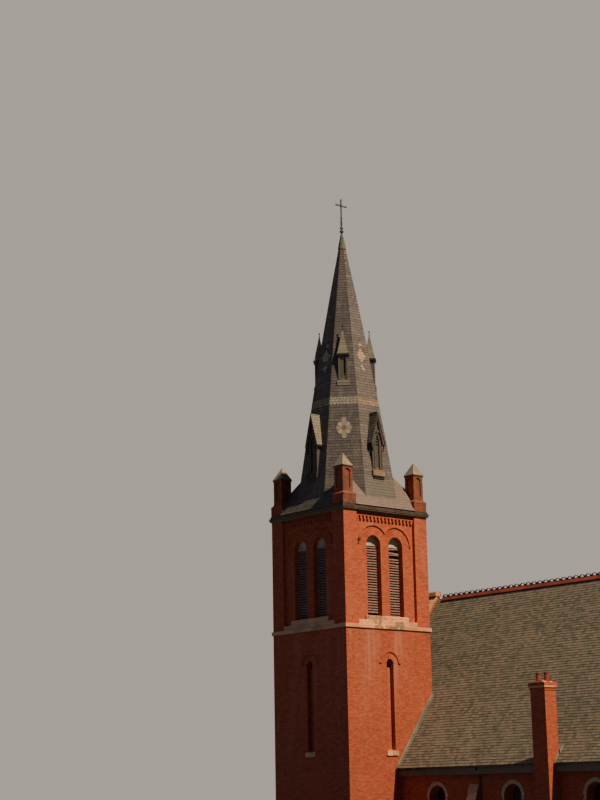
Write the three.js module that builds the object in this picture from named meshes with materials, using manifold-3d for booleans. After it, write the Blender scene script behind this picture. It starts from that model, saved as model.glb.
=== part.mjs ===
// A brick church: a square tower with a belfry stage and an octagonal slate spire, standing at one
// corner of a gabled nave. Millimetres, +Z up. While it is being built the tower's axis is x = 0, y = 0
// and the ground is z = 0. South is -Y, and the nave runs towards +X.

import * as THREE from "three";
import { mergeVertices } from "three/addons/utils/BufferGeometryUtils.js";
import Module from "manifold-3d";

const wasm = await Module();
wasm.setup();

const clearance = 0.3;
const arcSegments = 6;
const sides = ["south", "east", "north", "west"];

// Tower
const towerHalf = 3100;
const towerWall = 900;
const stringCourseBottom = 12440;
const stringCourseTop = 12642;
const stringCourseProjection = 70;
const belfryTop = 18817;

// Slits of the lower stage, bricked up as far as fillTop and glazed above it
const slit = { width: 490, sill: 5980, spring: 10600, fillTop: 10400, fillDepth: 260, glassDepth: 420 };
const slitSill = { half: 410, height: 270, projection: 60 };
const slitHood = { inner: 600, outer: 680, projection: 56, reach: 770 };

// Belfry stage: pilasters at the corners, a recess between them, two round-headed openings
const pilasterWidth = 950;
const recessDepth = 170;
const secondCourseTop = 12890;
const louvre = { width: 1040, sill: 13150, spring: 17050, centre: 820, depth: 450, thickness: 100, pitch: 140 };
const louvreSill = { half: 1570, projection: 130 };
const beltHood = { inner: 1050, outer: 1120, projection: 60 };
const dentils = { count: 16, bottom: 18380, top: 18620, projection: 100 };

// Cornice and corner turrets
const corniceTop = 19152;
const gutter = { projection: 110, bottom: 18910, top: 19040, back: 50 };
const turret = {
  axis: 2650,
  baseHalf: 470,
  shoulder: 19700,
  shaftBottom: 19848,
  shaftHalf: 355,
  shaftTop: 21110,
  eaves: 21232,
  headHalf: 368,
  panelWidth: 370,
  panelBottom: 20044,
  panelSpring: 20935,
  panelDepth: 60,
};
const turretCap = { half: 390, edge: 45, top: 22010 };

// Spire, with the distance from its axis to its flats falling by spireSlope for each unit of height
const spireSlope = 0.17;
const spireMeetingPoint = 36146;
const spireEntasis = 80;
const spireFold = 20832;
const spireTop = 34952;
const spireShell = 200;
const spireRings = 8;
const broach = { eavesHalf: 3190, slope: 1.51, top: 21300 };
const metalCap = { top: 36006, topHalf: 40, overhang: 27, edge: 60 };

// Lower lucarnes, on the four faces that run with the tower's walls
const lowerLucarne = {
  front: 2560,
  half: 380,
  sillBottom: 20900,
  sillTop: 21337,
  sillHalf: 430,
  sillFront: 2690,
  eaves: 22810,
  eavesHalf: 510,
  apex: 24690,
  overhang: 110,
  roofEdge: 70,
  slotWidth: 330,
  slotSpring: 23160,
  slotDepth: 200,
};

// Upper lucarnes, on the four diagonal faces
const upperLucarne = {
  axis: 1455,
  half: 260,
  sillBottom: 26230,
  sillTop: 26600,
  sillHalf: 350,
  sillFront: 1790,
  eavesBottom: 28060,
  eaves: 28220,
  eavesHalf: 368,
  apex: 29700,
  finialHalf: 22,
  finialTop: 29936,
  slotWidth: 260,
  slotSpring: 27860,
  slotDepth: 110,
};

// Cross above the spire
const cross = {
  top: 38100,
  ball: 36125,
  ballRadius: 115,
  upperBall: 36305,
  upperBallRadius: 100,
  stemHalf: 45,
  stemTop: 37000,
  shaftHalf: 32,
  armHeight: 37690,
  armHalf: 400,
  armThickness: 34,
  tipHalf: 60,
  tipLength: 70,
  tipThickness: 40,
};

// Nave
const naveSouth = 620;
const naveWest = -1100;
const naveWall = 600;
const ridgeY = 7316;
const ridgeHeight = 14855;
const roofRise = 1.402;
const roofThickness = 430;
const eavesOverhang = 310;
const bayLength = 5400;
const bays = 4;
const floorThickness = 150;
const parapet = { rise: 300, kneelerReach: 330, kneelerBottom: 4600 };
const sideWindow = { width: 1200, sill: 1500, spring: 3500 };
const sheetMargin = 100;
const glassThickness = 12;
const buttress = { half: 310, depth: 520, lowShoulder: 3000, shoulder: 3300, top: 4100 };
const roundWindow = { radius: 1250, height: 8900, glassDepth: 300 };
const rearWindow = { width: 1300, sill: 3200, spring: 6600, spacing: 2600 };
const door = { width: 2300, spring: 2700, thickness: 120, depth: 260, joint: 12, jointDepth: 25 };
const cresting = { start: -60, pitch: 437, tabShare: 0.6, saddleHalf: 150, saddleLip: 60 };
const crestingSize = { half: 30, base: 110, top: 280 };
const chimney = { x: 13900, half: 475, depth: 800, top: 8900, cap: 240, capReach: 60, flueHalf: 150, flueDepth: 900 };

const naveNorth = 2 * ridgeY - naveSouth;
const naveEast = towerHalf + bays * bayLength;
const naveInsideWest = naveWest + naveWall;
const naveInsideEast = naveEast - naveWall;

const paint = (color, roughness, metalness = 0) =>
  new THREE.MeshStandardMaterial({ color, roughness, metalness });
const brick = paint(0xa8502f, 0.9);
const stone = paint(0xc9b08c, 0.85);
const slate = paint(0x66645f, 0.6);
const patina = paint(0x8f9d86, 0.55, 0.6);
const iron = paint(0x33302e, 0.5, 0.9);
const wood = paint(0x9a8478, 0.8);
const terracotta = paint(0x8a3a28, 0.8);
const glass = paint(0x2c3438, 0.15);
const zinc = paint(0x4a4038, 0.6, 0.5);

// A closed three.js geometry as a solid that can be cut and joined.
function solidOf(geometry) {
  const bare = geometry.index ? geometry.toNonIndexed() : geometry.clone();
  bare.deleteAttribute("normal");
  bare.deleteAttribute("uv");
  const merged = mergeVertices(bare, 1e-3);
  const corners = merged.index.array;
  const kept = [];
  for (let i = 0; i < corners.length; i += 3) {
    const [a, b, c] = [corners[i], corners[i + 1], corners[i + 2]];
    if (a !== b && b !== c && c !== a) kept.push(a, b, c);
  }
  return new wasm.Manifold(
    new wasm.Mesh({
      numProp: 3,
      vertProperties: new Float32Array(merged.attributes.position.array),
      triVerts: new Uint32Array(kept),
    }),
  );
}

function geometryOf(solid) {
  const mesh = solid.getMesh();
  const geometry = new THREE.BufferGeometry();
  geometry.setAttribute("position", new THREE.BufferAttribute(mesh.vertProperties, 3));
  geometry.setIndex(new THREE.BufferAttribute(mesh.triVerts, 1));
  geometry.computeVertexNormals();
  return geometry;
}

const join = (solids) => solids.reduce((sum, next) => sum.add(next));

const aroundTower = (solid) => join(sides.map((_, k) => solid.rotate([0, 0, 90 * k])));

function box(x0, x1, y0, y1, z0, z1) {
  const geometry = new THREE.BoxGeometry(x1 - x0, y1 - y0, z1 - z0);
  geometry.translate((x0 + x1) / 2, (y0 + y1) / 2, (z0 + z1) / 2);
  return solidOf(geometry);
}

function extruded(shape, depth) {
  const geometry = new THREE.ExtrudeGeometry(shape, {
    depth,
    bevelEnabled: false,
    curveSegments: arcSegments,
  });
  return geometry.rotateX(Math.PI / 2);
}

// A shape drawn across X and up Z, run from y0 to y1.
const alongY = (shape, y0, y1) => solidOf(extruded(shape, y1 - y0).translate(0, y1, 0));

// A shape drawn across Y and up Z, run from x0 to x1.
const alongX = (shape, x0, x1) =>
  solidOf(
    extruded(shape, x1 - x0)
      .rotateZ(Math.PI / 2)
      .translate(x0, 0, 0),
  );

const polygon = (points) => new THREE.Shape(points.map(([u, v]) => new THREE.Vector2(u, v)));

function roundHeaded(u, width, bottom, spring) {
  const shape = new THREE.Shape();
  shape.moveTo(u - width / 2, bottom);
  shape.lineTo(u + width / 2, bottom);
  shape.lineTo(u + width / 2, spring);
  shape.absarc(u, spring, width / 2, 0, Math.PI, false);
  return shape;
}

function archRing(u, inner, outer, spring) {
  const shape = new THREE.Shape();
  shape.moveTo(u + inner, spring);
  shape.lineTo(u + outer, spring);
  shape.absarc(u, spring, outer, 0, Math.PI, false);
  shape.lineTo(u - inner, spring);
  shape.absarc(u, spring, inner, Math.PI, 0, true);
  return shape;
}

// A prism or frustum with flats facing X and Y, sized from its axis to its flats.
function frustum(flats, bottomHalf, topHalf, z0, z1) {
  const reach = 1 / Math.cos(Math.PI / flats);
  const geometry = new THREE.CylinderGeometry(topHalf * reach, bottomHalf * reach, z1 - z0, flats);
  geometry.rotateX(Math.PI / 2);
  geometry.rotateZ(Math.PI / flats);
  geometry.translate(0, 0, (z0 + z1) / 2);
  return solidOf(geometry);
}

// A profile of [distance from axis to flat, height] from the bottom up, turned with a few flats.
function turned(profile, flats) {
  const reach = 1 / Math.cos(Math.PI / flats);
  const points = profile.map(([r, z]) => new THREE.Vector2(r * reach, z));
  const geometry = new THREE.LatheGeometry(points, flats);
  geometry.rotateX(Math.PI / 2);
  geometry.rotateZ(Math.PI / flats);
  return solidOf(geometry);
}

const model = new THREE.Group();

function place(name, solid, material, turn = 0) {
  const mesh = new THREE.Mesh(geometryOf(solid), material);
  mesh.name = name;
  mesh.rotation.z = turn;
  model.add(mesh);
}

// Every tower wall is made facing south and turned a quarter at a time. It covers its own left
// corner and stops against the next wall on its right.
const wallOuter = -towerHalf;
const wallInner = -towerHalf + towerWall;
const recessFace = wallOuter + recessDepth;
const recessHalf = towerHalf - pilasterWidth;
const wallBlock = (z0, z1) => box(-towerHalf, towerHalf - towerWall, wallOuter, wallInner, z0, z1);

function lowerWall(hasSlit) {
  const wall = wallBlock(0, stringCourseBottom);
  if (!hasSlit) return wall;
  const niche = box(
    -slit.width / 2,
    slit.width / 2,
    wallOuter - 200,
    wallOuter + slit.fillDepth,
    slit.sill,
    slit.fillTop + 1,
  );
  const head = alongY(roundHeaded(0, slit.width, slit.fillTop, slit.spring), wallOuter - 200, wallInner + 1);
  const front = wallOuter - slitHood.projection;
  const sill = box(
    -slitSill.half,
    slitSill.half,
    wallOuter - slitSill.projection,
    wallOuter + 1,
    slit.sill - slitSill.height,
    slit.sill,
  );
  const hood = alongY(archRing(0, slitHood.inner, slitHood.outer, slit.spring), front, wallOuter + 1);
  const hoodFoot = slit.spring + slitHood.outer - slitHood.inner;
  const returns = [-slitHood.reach, slitHood.inner].map((x) =>
    box(x, x + slitHood.reach - slitHood.inner, front, wallOuter + 1, slit.spring, hoodFoot),
  );
  return join([wall, sill, hood, ...returns]).subtract(niche).subtract(head);
}

function slitGlass() {
  const y = wallOuter + slit.glassDepth;
  return alongY(roundHeaded(0, slit.width - 2 * clearance, slit.fillTop, slit.spring), y, y + glassThickness);
}

// A row of brick blocks across the head of the recess.
function dentilRow() {
  const pitch = (2 * recessHalf) / dentils.count;
  const front = recessFace - dentils.projection;
  return Array.from({ length: dentils.count }, (_, i) => {
    const x = (i + 0.25) * pitch - recessHalf;
    return box(x, x + pitch / 2, front, recessFace + 1, dentils.bottom, dentils.top);
  });
}

function belfryWall() {
  const recess = box(-recessHalf, recessHalf, wallOuter - 1, recessFace, stringCourseTop - 1, belfryTop + 1);
  const centres = [-louvre.centre, louvre.centre];
  const openings = centres.map((x) =>
    alongY(roundHeaded(x, louvre.width, louvre.sill, louvre.spring), wallOuter - 1, wallInner + 1),
  );
  const front = recessFace - beltHood.projection;
  const hoods = centres.map((x) => {
    const ring = alongY(archRing(x, beltHood.inner, beltHood.outer, louvre.spring), front, recessFace + 1);
    const neighbour = roundHeaded(-x, 2 * beltHood.inner, louvre.sill, louvre.spring);
    return ring.subtract(alongY(neighbour, front - 1, recessFace + 2));
  });
  const wall = wallBlock(stringCourseTop, belfryTop).subtract(recess);
  return join([wall, ...hoods, ...dentilRow()]).subtract(join(openings));
}

// One closed panel with a sawtooth front of louvre blades under a plain round head.
function louvrePanel(x) {
  const front = wallOuter + louvre.depth;
  const back = front + louvre.thickness;
  const groove = front + (2 * louvre.thickness) / 3;
  const count = Math.round((louvre.spring - louvre.sill) / louvre.pitch);
  const pitch = (louvre.spring - louvre.sill) / count;
  const points = [
    [back, louvre.sill],
    [back, louvre.spring],
  ];
  for (let i = count; i > 0; i--) {
    points.push([groove, louvre.sill + i * pitch], [front, louvre.sill + (i - 0.8) * pitch]);
    points.push([front, louvre.sill + (i - 1) * pitch]);
  }
  const half = louvre.width / 2 - clearance;
  const blades = alongX(polygon(points), x - half, x + half);
  const head = alongY(roundHeaded(x, 2 * half, louvre.spring - pitch, louvre.spring), front, back);
  return blades.add(head);
}

function stringCourse() {
  const outer = towerHalf + stringCourseProjection;
  const inner = towerHalf - towerWall;
  const ring = box(-outer, outer, -outer, outer, stringCourseBottom, stringCourseTop).subtract(
    box(-inner, inner, -inner, inner, stringCourseBottom - 1, stringCourseTop + 1),
  );
  const second = box(-recessHalf, recessHalf, wallOuter, recessFace, stringCourseTop - 1, secondCourseTop);
  const sill = box(
    -louvreSill.half,
    louvreSill.half,
    recessFace - louvreSill.projection,
    recessFace,
    secondCourseTop - 1,
    louvre.sill,
  );
  return ring.add(aroundTower(second.add(sill)));
}

function cornice() {
  const inner = towerHalf - towerWall;
  const front = towerHalf + gutter.projection;
  return turned(
    [
      [inner, belfryTop],
      [towerHalf + 15, belfryTop],
      [towerHalf + 30, gutter.bottom - 50],
      [front - 20, gutter.bottom],
      [front, gutter.bottom + 20],
      [front, gutter.top],
      [towerHalf + gutter.back, gutter.top + 10],
      [towerHalf + gutter.back, corniceTop],
      [inner, corniceTop],
      [inner, belfryTop],
    ],
    4,
  );
}

function turretSolid() {
  const t = turret;
  const base = frustum(4, t.baseHalf, t.baseHalf, corniceTop, t.shoulder);
  const shoulder = frustum(4, t.baseHalf, t.shaftHalf, t.shoulder, t.shaftBottom);
  const shaft = frustum(4, t.shaftHalf, t.shaftHalf, t.shaftBottom, t.shaftTop);
  const head = frustum(4, t.shaftHalf, t.headHalf, t.shaftTop, t.eaves);
  const panel = alongY(
    roundHeaded(0, t.panelWidth, t.panelBottom, t.panelSpring),
    -t.shaftHalf - 1,
    -t.shaftHalf + t.panelDepth,
  );
  return join([base, shoulder, shaft, head]).subtract(aroundTower(panel));
}

function turretCapSolid() {
  return turned(
    [
      [0, turret.eaves],
      [turretCap.half, turret.eaves],
      [turretCap.half, turret.eaves + turretCap.edge],
      [0, turretCap.top],
    ],
    4,
  );
}

// Distance from the spire's axis to its flats, with a slight outward curve.
function spireHalf(z) {
  const rise = THREE.MathUtils.clamp((z - spireFold) / (spireTop - spireFold), 0, 1);
  return spireSlope * (spireMeetingPoint - z) + spireEntasis * Math.sin(Math.PI * rise);
}

// The spire from z0 to z1, smaller by inset all round. A low square pyramid crosses its foot, which
// gives the flared eaves and the four small corner roofs.
function spireBody(inset, z0, z1) {
  const profile = [
    [0, z0],
    [spireHalf(z0) - inset, z0],
  ];
  for (let i = 0; i <= spireRings; i++) {
    const z = spireFold + ((z1 - spireFold) * i) / spireRings;
    profile.push([spireHalf(z) - inset, z]);
  }
  profile.push([0, z1]);
  const broachHalf = (z) => broach.eavesHalf - (z - corniceTop) / broach.slope - inset;
  const square = frustum(4, broachHalf(z0), broachHalf(broach.top), z0, broach.top);
  return turned(profile, 8).add(square);
}

function spire() {
  const outer = spireBody(0, corniceTop, spireTop);
  const inner = spireBody(spireShell, corniceTop - 1, spireTop - 1500);
  const far = broach.eavesHalf + 200;
  const steps = [
    [turret.axis - turret.baseHalf - clearance, turret.shaftBottom + clearance],
    [turret.axis - turret.shaftHalf - clearance, broach.top],
  ];
  const corner = join(steps.map(([near, top]) => box(near, far, near, far, corniceTop - 1, top)));
  return outer.subtract(inner).subtract(aroundTower(corner));
}

function spireCap() {
  const foot = spireHalf(spireTop) + metalCap.overhang;
  return turned(
    [
      [0, spireTop],
      [foot, spireTop],
      [foot, spireTop + metalCap.edge],
      [metalCap.topHalf, metalCap.top],
      [0, metalCap.top],
    ],
    8,
  );
}

function crossFinial() {
  const c = cross;
  const ball = (radius, z) => solidOf(new THREE.SphereGeometry(radius, 12, 8).rotateX(Math.PI / 2).translate(0, 0, z));
  const stem = frustum(8, c.stemHalf, c.stemHalf, metalCap.top, c.stemTop);
  const shaft = frustum(4, c.shaftHalf, c.shaftHalf, c.stemTop - 1, c.top);
  const low = c.armHeight - c.armThickness;
  const high = c.armHeight + c.armThickness;
  const arms = box(-c.armThickness, c.armThickness, -c.armHalf, c.armHalf, low, high);
  const tips = [-1, 1].map((side) => {
    const inner = side * (c.armHalf - c.tipLength);
    const outer = side * c.armHalf;
    const ends = [inner, outer].sort((a, b) => a - b);
    return box(-c.tipThickness, c.tipThickness, ...ends, c.armHeight - c.tipHalf, c.armHeight + c.tipHalf);
  });
  const head = box(-c.tipThickness, c.tipThickness, -c.tipHalf, c.tipHalf, c.top - c.tipLength, c.top);
  return join([stem, shaft, ball(c.ballRadius, c.ball), ball(c.upperBallRadius, c.upperBall), arms, ...tips, head]);
}

// Lucarnes are made facing south and cut to the spire's face behind them.
function lowerLucarneSolid(spireFace) {
  const l = lowerLucarne;
  const back = -spireHalf(l.apex) + 300;
  const roofFoot = l.eaves + l.roofEdge;
  const wall = alongY(
    polygon([
      [-l.half, l.sillTop - 1],
      [l.half, l.sillTop - 1],
      [l.half, l.eaves + 1],
      [0, l.apex - 200],
      [-l.half, l.eaves + 1],
    ]),
    -l.front,
    back,
  );
  const roof = alongY(
    polygon([
      [-l.eavesHalf, l.eaves],
      [-l.half + 20, l.eaves],
      [0, l.apex - 400],
      [l.half - 20, l.eaves],
      [l.eavesHalf, l.eaves],
      [l.eavesHalf, roofFoot],
      [0, l.apex],
      [-l.eavesHalf, roofFoot],
    ]),
    -l.front - l.overhang,
    back,
  );
  const sill = alongX(
    polygon([
      [back, l.sillBottom],
      [-l.front + 60, l.sillBottom],
      [-l.sillFront, l.sillBottom + 140],
      [-l.sillFront, l.sillTop - 40],
      [-l.front, l.sillTop],
      [back, l.sillTop],
    ]),
    -l.sillHalf,
    l.sillHalf,
  );
  const slot = roundHeaded(0, l.slotWidth, l.sillTop, l.slotSpring);
  const recess = alongY(slot, -l.front - l.overhang - 1, -l.front + l.slotDepth);
  return join([wall, roof, sill]).subtract(recess).subtract(spireFace);
}

function upperLucarneSolid(spireFace) {
  const l = upperLucarne;
  const front = -l.axis - l.half;
  const back = -l.axis + l.half;
  const body = box(-l.half, l.half, front, back, l.sillTop - 1, l.eavesBottom + 1);
  const sill = alongX(
    polygon([
      [back, l.sillBottom],
      [front, l.sillBottom],
      [-l.sillFront, l.sillBottom + 90],
      [-l.sillFront, l.sillTop - 30],
      [front, l.sillTop],
      [back, l.sillTop],
    ]),
    -l.sillHalf,
    l.sillHalf,
  );
  const roof = turned(
    [
      [0, l.eavesBottom],
      [l.eavesHalf - 40, l.eavesBottom],
      [l.eavesHalf, l.eavesBottom + 60],
      [l.eavesHalf, l.eaves],
      [l.finialHalf, l.apex],
      [l.finialHalf, l.finialTop - 110],
      [2 * l.finialHalf, l.finialTop - 60],
      [0, l.finialTop],
    ],
    4,
  ).translate([0, -l.axis, 0]);
  const slot = roundHeaded(0, l.slotWidth, l.sillTop, l.slotSpring);
  const recess = alongY(slot, -l.sillFront - 1, front + l.slotDepth);
  return join([body, sill, roof]).subtract(recess).subtract(spireFace);
}

// Nave. Each slope is one plane, so every height on it comes from the distance to the ridge.
const roofTopAt = (y) => ridgeHeight - roofRise * Math.abs(y - ridgeY);
const roofUnderAt = (y) => roofTopAt(y) - roofThickness;
const toNorth = (solid) => solid.mirror([0, 1, 0]).translate([0, 2 * ridgeY, 0]);

const baysFromTower = Array.from({ length: bays }, (_, i) => towerHalf + (i + 0.5) * bayLength);
const westBay = (naveInsideWest + towerHalf) / 2;
const pierLines = Array.from({ length: bays - 1 }, (_, i) => towerHalf + (i + 1) * bayLength);

// A side wall drawn for the south side.
function sideWall(x0, x1, windows, piers) {
  const inside = naveSouth + naveWall;
  const wall = alongX(
    polygon([
      [naveSouth, 0],
      [inside, 0],
      [inside, roofUnderAt(inside) - clearance],
      [naveSouth, roofUnderAt(naveSouth) - clearance],
    ]),
    x0,
    x1,
  );
  const b = buttress;
  const pierShape = polygon([
    [naveSouth + 1, 0],
    [naveSouth + 1, b.top],
    [naveSouth, b.top],
    [naveSouth - b.depth / 2, b.shoulder],
    [naveSouth - b.depth, b.lowShoulder],
    [naveSouth - b.depth, 0],
  ]);
  const butts = piers.map((x) => alongX(pierShape, x - b.half, x + b.half));
  const holes = windows.map((x) =>
    alongY(roundHeaded(x, sideWindow.width, sideWindow.sill, sideWindow.spring), naveSouth - 1, inside + 1),
  );
  return join([wall, ...butts]).subtract(join(holes));
}

// One sheet of glass against the inner face of a side wall, behind all its windows.
function glassSheet(windows) {
  const reach = sideWindow.width / 2 + sheetMargin;
  const inside = naveSouth + naveWall;
  return box(
    Math.min(...windows) - reach,
    Math.max(...windows) + reach,
    inside,
    inside + glassThickness,
    sideWindow.sill - sheetMargin,
    sideWindow.spring + reach,
  );
}

const kneeler = (y, out) => [
  [y, 0],
  [y, parapet.kneelerBottom],
  [y + out, roofUnderAt(y + out)],
  [y + out, roofTopAt(y + out) + parapet.rise],
];

const gableTop = [ridgeY, ridgeHeight + parapet.rise];
const northKneeler = kneeler(naveNorth, parapet.kneelerReach).reverse();

function frontGable() {
  const againstTower = [
    [towerHalf, 0],
    [towerHalf, roofTopAt(towerHalf) + parapet.rise],
  ];
  const wall = alongX(polygon([...againstTower, gableTop, ...northKneeler]), naveWest, naveInsideWest);
  const rose = new THREE.Shape().absarc(ridgeY, roundWindow.height, roundWindow.radius, 0, 2 * Math.PI, false);
  const doorway = roundHeaded(ridgeY, door.width, -1, door.spring);
  const cuts = [rose, doorway].map((shape) => alongX(shape, naveWest - 1, naveInsideWest + 1));
  return wall.subtract(join(cuts));
}

function roundGlass() {
  const radius = roundWindow.radius - clearance;
  const shape = new THREE.Shape().absarc(ridgeY, roundWindow.height, radius, 0, 2 * Math.PI, false);
  const x = naveWest + roundWindow.glassDepth;
  return alongX(shape, x, x + glassThickness);
}

const rearCentres = [-1, 0, 1].map((i) => ridgeY + i * rearWindow.spacing);

function rearGable() {
  const southKneeler = kneeler(naveSouth, -parapet.kneelerReach);
  const wall = alongX(polygon([...southKneeler, gableTop, ...northKneeler]), naveInsideEast, naveEast);
  const holes = rearCentres.map((y) =>
    alongX(roundHeaded(y, rearWindow.width, rearWindow.sill, rearWindow.spring), naveInsideEast - 1, naveEast + 1),
  );
  return wall.subtract(join(holes));
}

function rearGlass() {
  const reach = rearWindow.width / 2 + sheetMargin;
  return box(
    naveInsideEast - glassThickness,
    naveInsideEast,
    rearCentres[0] - reach,
    rearCentres[2] + reach,
    rearWindow.sill - sheetMargin,
    rearWindow.spring + reach,
  );
}

function roofSlope(x0, x1, yFrom) {
  const ridge = ridgeY - clearance;
  return alongX(
    polygon([
      [yFrom, roofUnderAt(yFrom)],
      [ridge, roofUnderAt(ridge)],
      [ridge, roofTopAt(ridge)],
      [yFrom, roofTopAt(yFrom)],
    ]),
    x0,
    x1,
  );
}

const roofWest = naveInsideWest + clearance;
const roofEast = naveInsideEast - clearance;
const roofEaves = naveSouth - eavesOverhang;

function southRoof() {
  const besideTower = roofSlope(towerHalf + clearance, roofEast, roofEaves);
  const behindTower = roofSlope(roofWest, towerHalf + clearance + 1, towerHalf + clearance);
  const c = chimney;
  const reach = c.half + clearance;
  const notch = box(c.x - reach, c.x + reach, roofEaves - 1, naveSouth + clearance, 0, ridgeHeight);
  return besideTower.add(behindTower).subtract(notch);
}

// A saddle along the ridge with a row of upright tabs.
function ridgeCresting() {
  const seat = ridgeHeight + clearance;
  const { saddleHalf, saddleLip } = cresting;
  const foot = roofTopAt(ridgeY + saddleHalf);
  const { half, base, top } = crestingSize;
  const saddle = alongX(
    polygon([
      [ridgeY, seat],
      [ridgeY + saddleHalf, foot + clearance],
      [ridgeY + saddleHalf, foot + saddleLip],
      [ridgeY + half, seat + base],
      [ridgeY - half, seat + base],
      [ridgeY - saddleHalf, foot + saddleLip],
      [ridgeY - saddleHalf, foot + clearance],
    ]),
    cresting.start,
    roofEast,
  );
  const count = Math.floor((roofEast - cresting.start) / cresting.pitch);
  const reach = (cresting.pitch * cresting.tabShare) / 2;
  const tabs = Array.from({ length: count }, (_, i) => {
    const x = cresting.start + (i + 0.5) * cresting.pitch;
    const shape = polygon([
      [x - reach, seat + base - 1],
      [x + reach, seat + base - 1],
      [x + reach, seat + top - 60],
      [x + reach / 2, seat + top],
      [x - reach / 2, seat + top],
      [x - reach, seat + top - 60],
    ]);
    return alongY(shape, ridgeY - half, ridgeY + half);
  });
  return join([saddle, ...tabs]);
}

function naveFloor() {
  const south = naveSouth + naveWall + clearance;
  const north = naveNorth - naveWall - clearance;
  const edge = towerHalf + clearance;
  const whole = box(roofWest, roofEast, south, north, 0, floorThickness);
  return whole.subtract(box(roofWest - 1, edge, south - 1, edge, -1, floorThickness + 1));
}

// The closed double doors of the front, with the line where the leaves meet.
function frontDoors() {
  const x = naveWest + door.depth;
  const leaves = alongX(roundHeaded(ridgeY, door.width - 2 * clearance, 0, door.spring), x, x + door.thickness);
  const meeting = [ridgeY - door.joint / 2, ridgeY + door.joint / 2];
  return leaves.subtract(box(x - 1, x + door.jointDepth, ...meeting, -1, door.spring + door.width));
}

// A stack against the outside of the south wall.
function chimneyStack() {
  const c = chimney;
  const outer = naveSouth - c.depth;
  const middle = (outer + naveSouth - clearance) / 2;
  const stack = box(c.x - c.half, c.x + c.half, outer, naveSouth - clearance, 0, c.top);
  const cap = box(
    c.x - c.half - c.capReach,
    c.x + c.half + c.capReach,
    outer - c.capReach,
    naveSouth + c.capReach,
    c.top - c.cap,
    c.top,
  );
  const flue = box(
    c.x - c.flueHalf,
    c.x + c.flueHalf,
    middle - c.flueHalf,
    middle + c.flueHalf,
    c.top - c.flueDepth,
    c.top + 1,
  );
  return stack.add(cap).subtract(flue);
}

const spireFace = spireBody(-clearance, corniceTop, spireTop);
const belfry = belfryWall();
const turretBlock = turretSolid();
const turretRoof = turretCapSolid();
const lowerDormer = lowerLucarneSolid(spireFace);
const upperDormer = upperLucarneSolid(spireFace);
const corners = ["south_west", "south_east", "north_east", "north_west"];
const quarter = (k) => (k * Math.PI) / 2;

sides.forEach((side, k) => {
  const hasSlit = side !== "north";
  place(`tower_wall_${side}`, lowerWall(hasSlit), brick, quarter(k));
  if (hasSlit) place(`slit_glass_${side}`, slitGlass(), glass, quarter(k));
  place(`belfry_wall_${side}`, belfry, brick, quarter(k));
  place(`louvre_${side}_left`, louvrePanel(-louvre.centre), wood, quarter(k));
  place(`louvre_${side}_right`, louvrePanel(louvre.centre), wood, quarter(k));
  place(`lower_lucarne_${side}`, lowerDormer, slate, quarter(k));
});
place("string_course", stringCourse(), stone);
place("cornice", cornice(), zinc);

corners.forEach((corner, k) => {
  const angle = quarter(k);
  const at = (solid) => solid.translate([-turret.axis, -turret.axis, 0]);
  place(`turret_${corner}`, at(turretBlock), brick, angle);
  place(`turret_cap_${corner}`, at(turretRoof), patina, angle);
  place(`upper_lucarne_${corner}`, upperDormer, slate, angle - Math.PI / 4);
});
place("spire", spire(), slate);
place("spire_cap", spireCap(), patina);
place("cross_finial", crossFinial(), iron);

place("nave_wall_south", sideWall(towerHalf, naveInsideEast, baysFromTower, [pierLines[0], pierLines[2]]), brick);
place("nave_wall_north", toNorth(sideWall(naveInsideWest, naveInsideEast, [westBay, ...baysFromTower], pierLines)), brick);
place("front_gable", frontGable(), brick);
place("rear_gable", rearGable(), brick);
place("nave_roof_south", southRoof(), slate);
place("nave_roof_north", toNorth(roofSlope(roofWest, roofEast, roofEaves)), slate);
place("ridge_cresting", ridgeCresting(), terracotta);
place("nave_floor", naveFloor(), stone);
place("front_doors", frontDoors(), wood);
place("chimney", chimneyStack(), brick);
place("glass_south", glassSheet(baysFromTower), glass);
place("glass_north", toNorth(glassSheet([westBay, ...baysFromTower])), glass);
place("glass_front", roundGlass(), glass);
place("glass_rear", rearGlass(), glass);

// The origin is on the ground, under the middle of the whole building.
const bounds = new THREE.Box3().setFromObject(model);
const middle = bounds.getCenter(new THREE.Vector3());
model.position.set(-Math.round(middle.x), -Math.round(middle.y), 0);

export default model;
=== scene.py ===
import math
import random

import bmesh
import bpy
from mathutils import Matrix, Vector


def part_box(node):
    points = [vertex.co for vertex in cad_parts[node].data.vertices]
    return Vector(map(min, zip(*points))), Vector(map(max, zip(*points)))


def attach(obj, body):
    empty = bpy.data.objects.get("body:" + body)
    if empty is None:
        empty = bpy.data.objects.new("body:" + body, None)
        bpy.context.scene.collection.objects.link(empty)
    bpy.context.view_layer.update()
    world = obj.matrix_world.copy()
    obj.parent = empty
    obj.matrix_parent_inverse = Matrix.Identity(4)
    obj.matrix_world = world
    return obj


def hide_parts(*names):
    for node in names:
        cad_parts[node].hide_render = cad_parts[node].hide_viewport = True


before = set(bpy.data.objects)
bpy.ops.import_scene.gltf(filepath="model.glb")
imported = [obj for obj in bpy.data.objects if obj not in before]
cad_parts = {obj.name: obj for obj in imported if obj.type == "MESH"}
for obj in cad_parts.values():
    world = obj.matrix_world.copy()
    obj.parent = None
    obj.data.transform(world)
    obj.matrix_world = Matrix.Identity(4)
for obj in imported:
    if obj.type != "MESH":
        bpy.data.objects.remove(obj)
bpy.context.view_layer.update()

# A brick church: tower, belfry, slate spire and nave. Everything is measured in metres from the
# tower's axis, with south as -Y, and then moved to where the frame has the tower.

chance = random.Random(1873)
scene = bpy.context.scene
sides = ["south", "east", "north", "west"]
corners = ["south_west", "south_east", "north_east", "north_west"]

stringLow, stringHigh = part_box("string_course")
axis = Vector(((stringLow.x + stringHigh.x) / 2, (stringLow.y + stringHigh.y) / 2, 0))
towerPlace = Matrix.Translation(axis)


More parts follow.
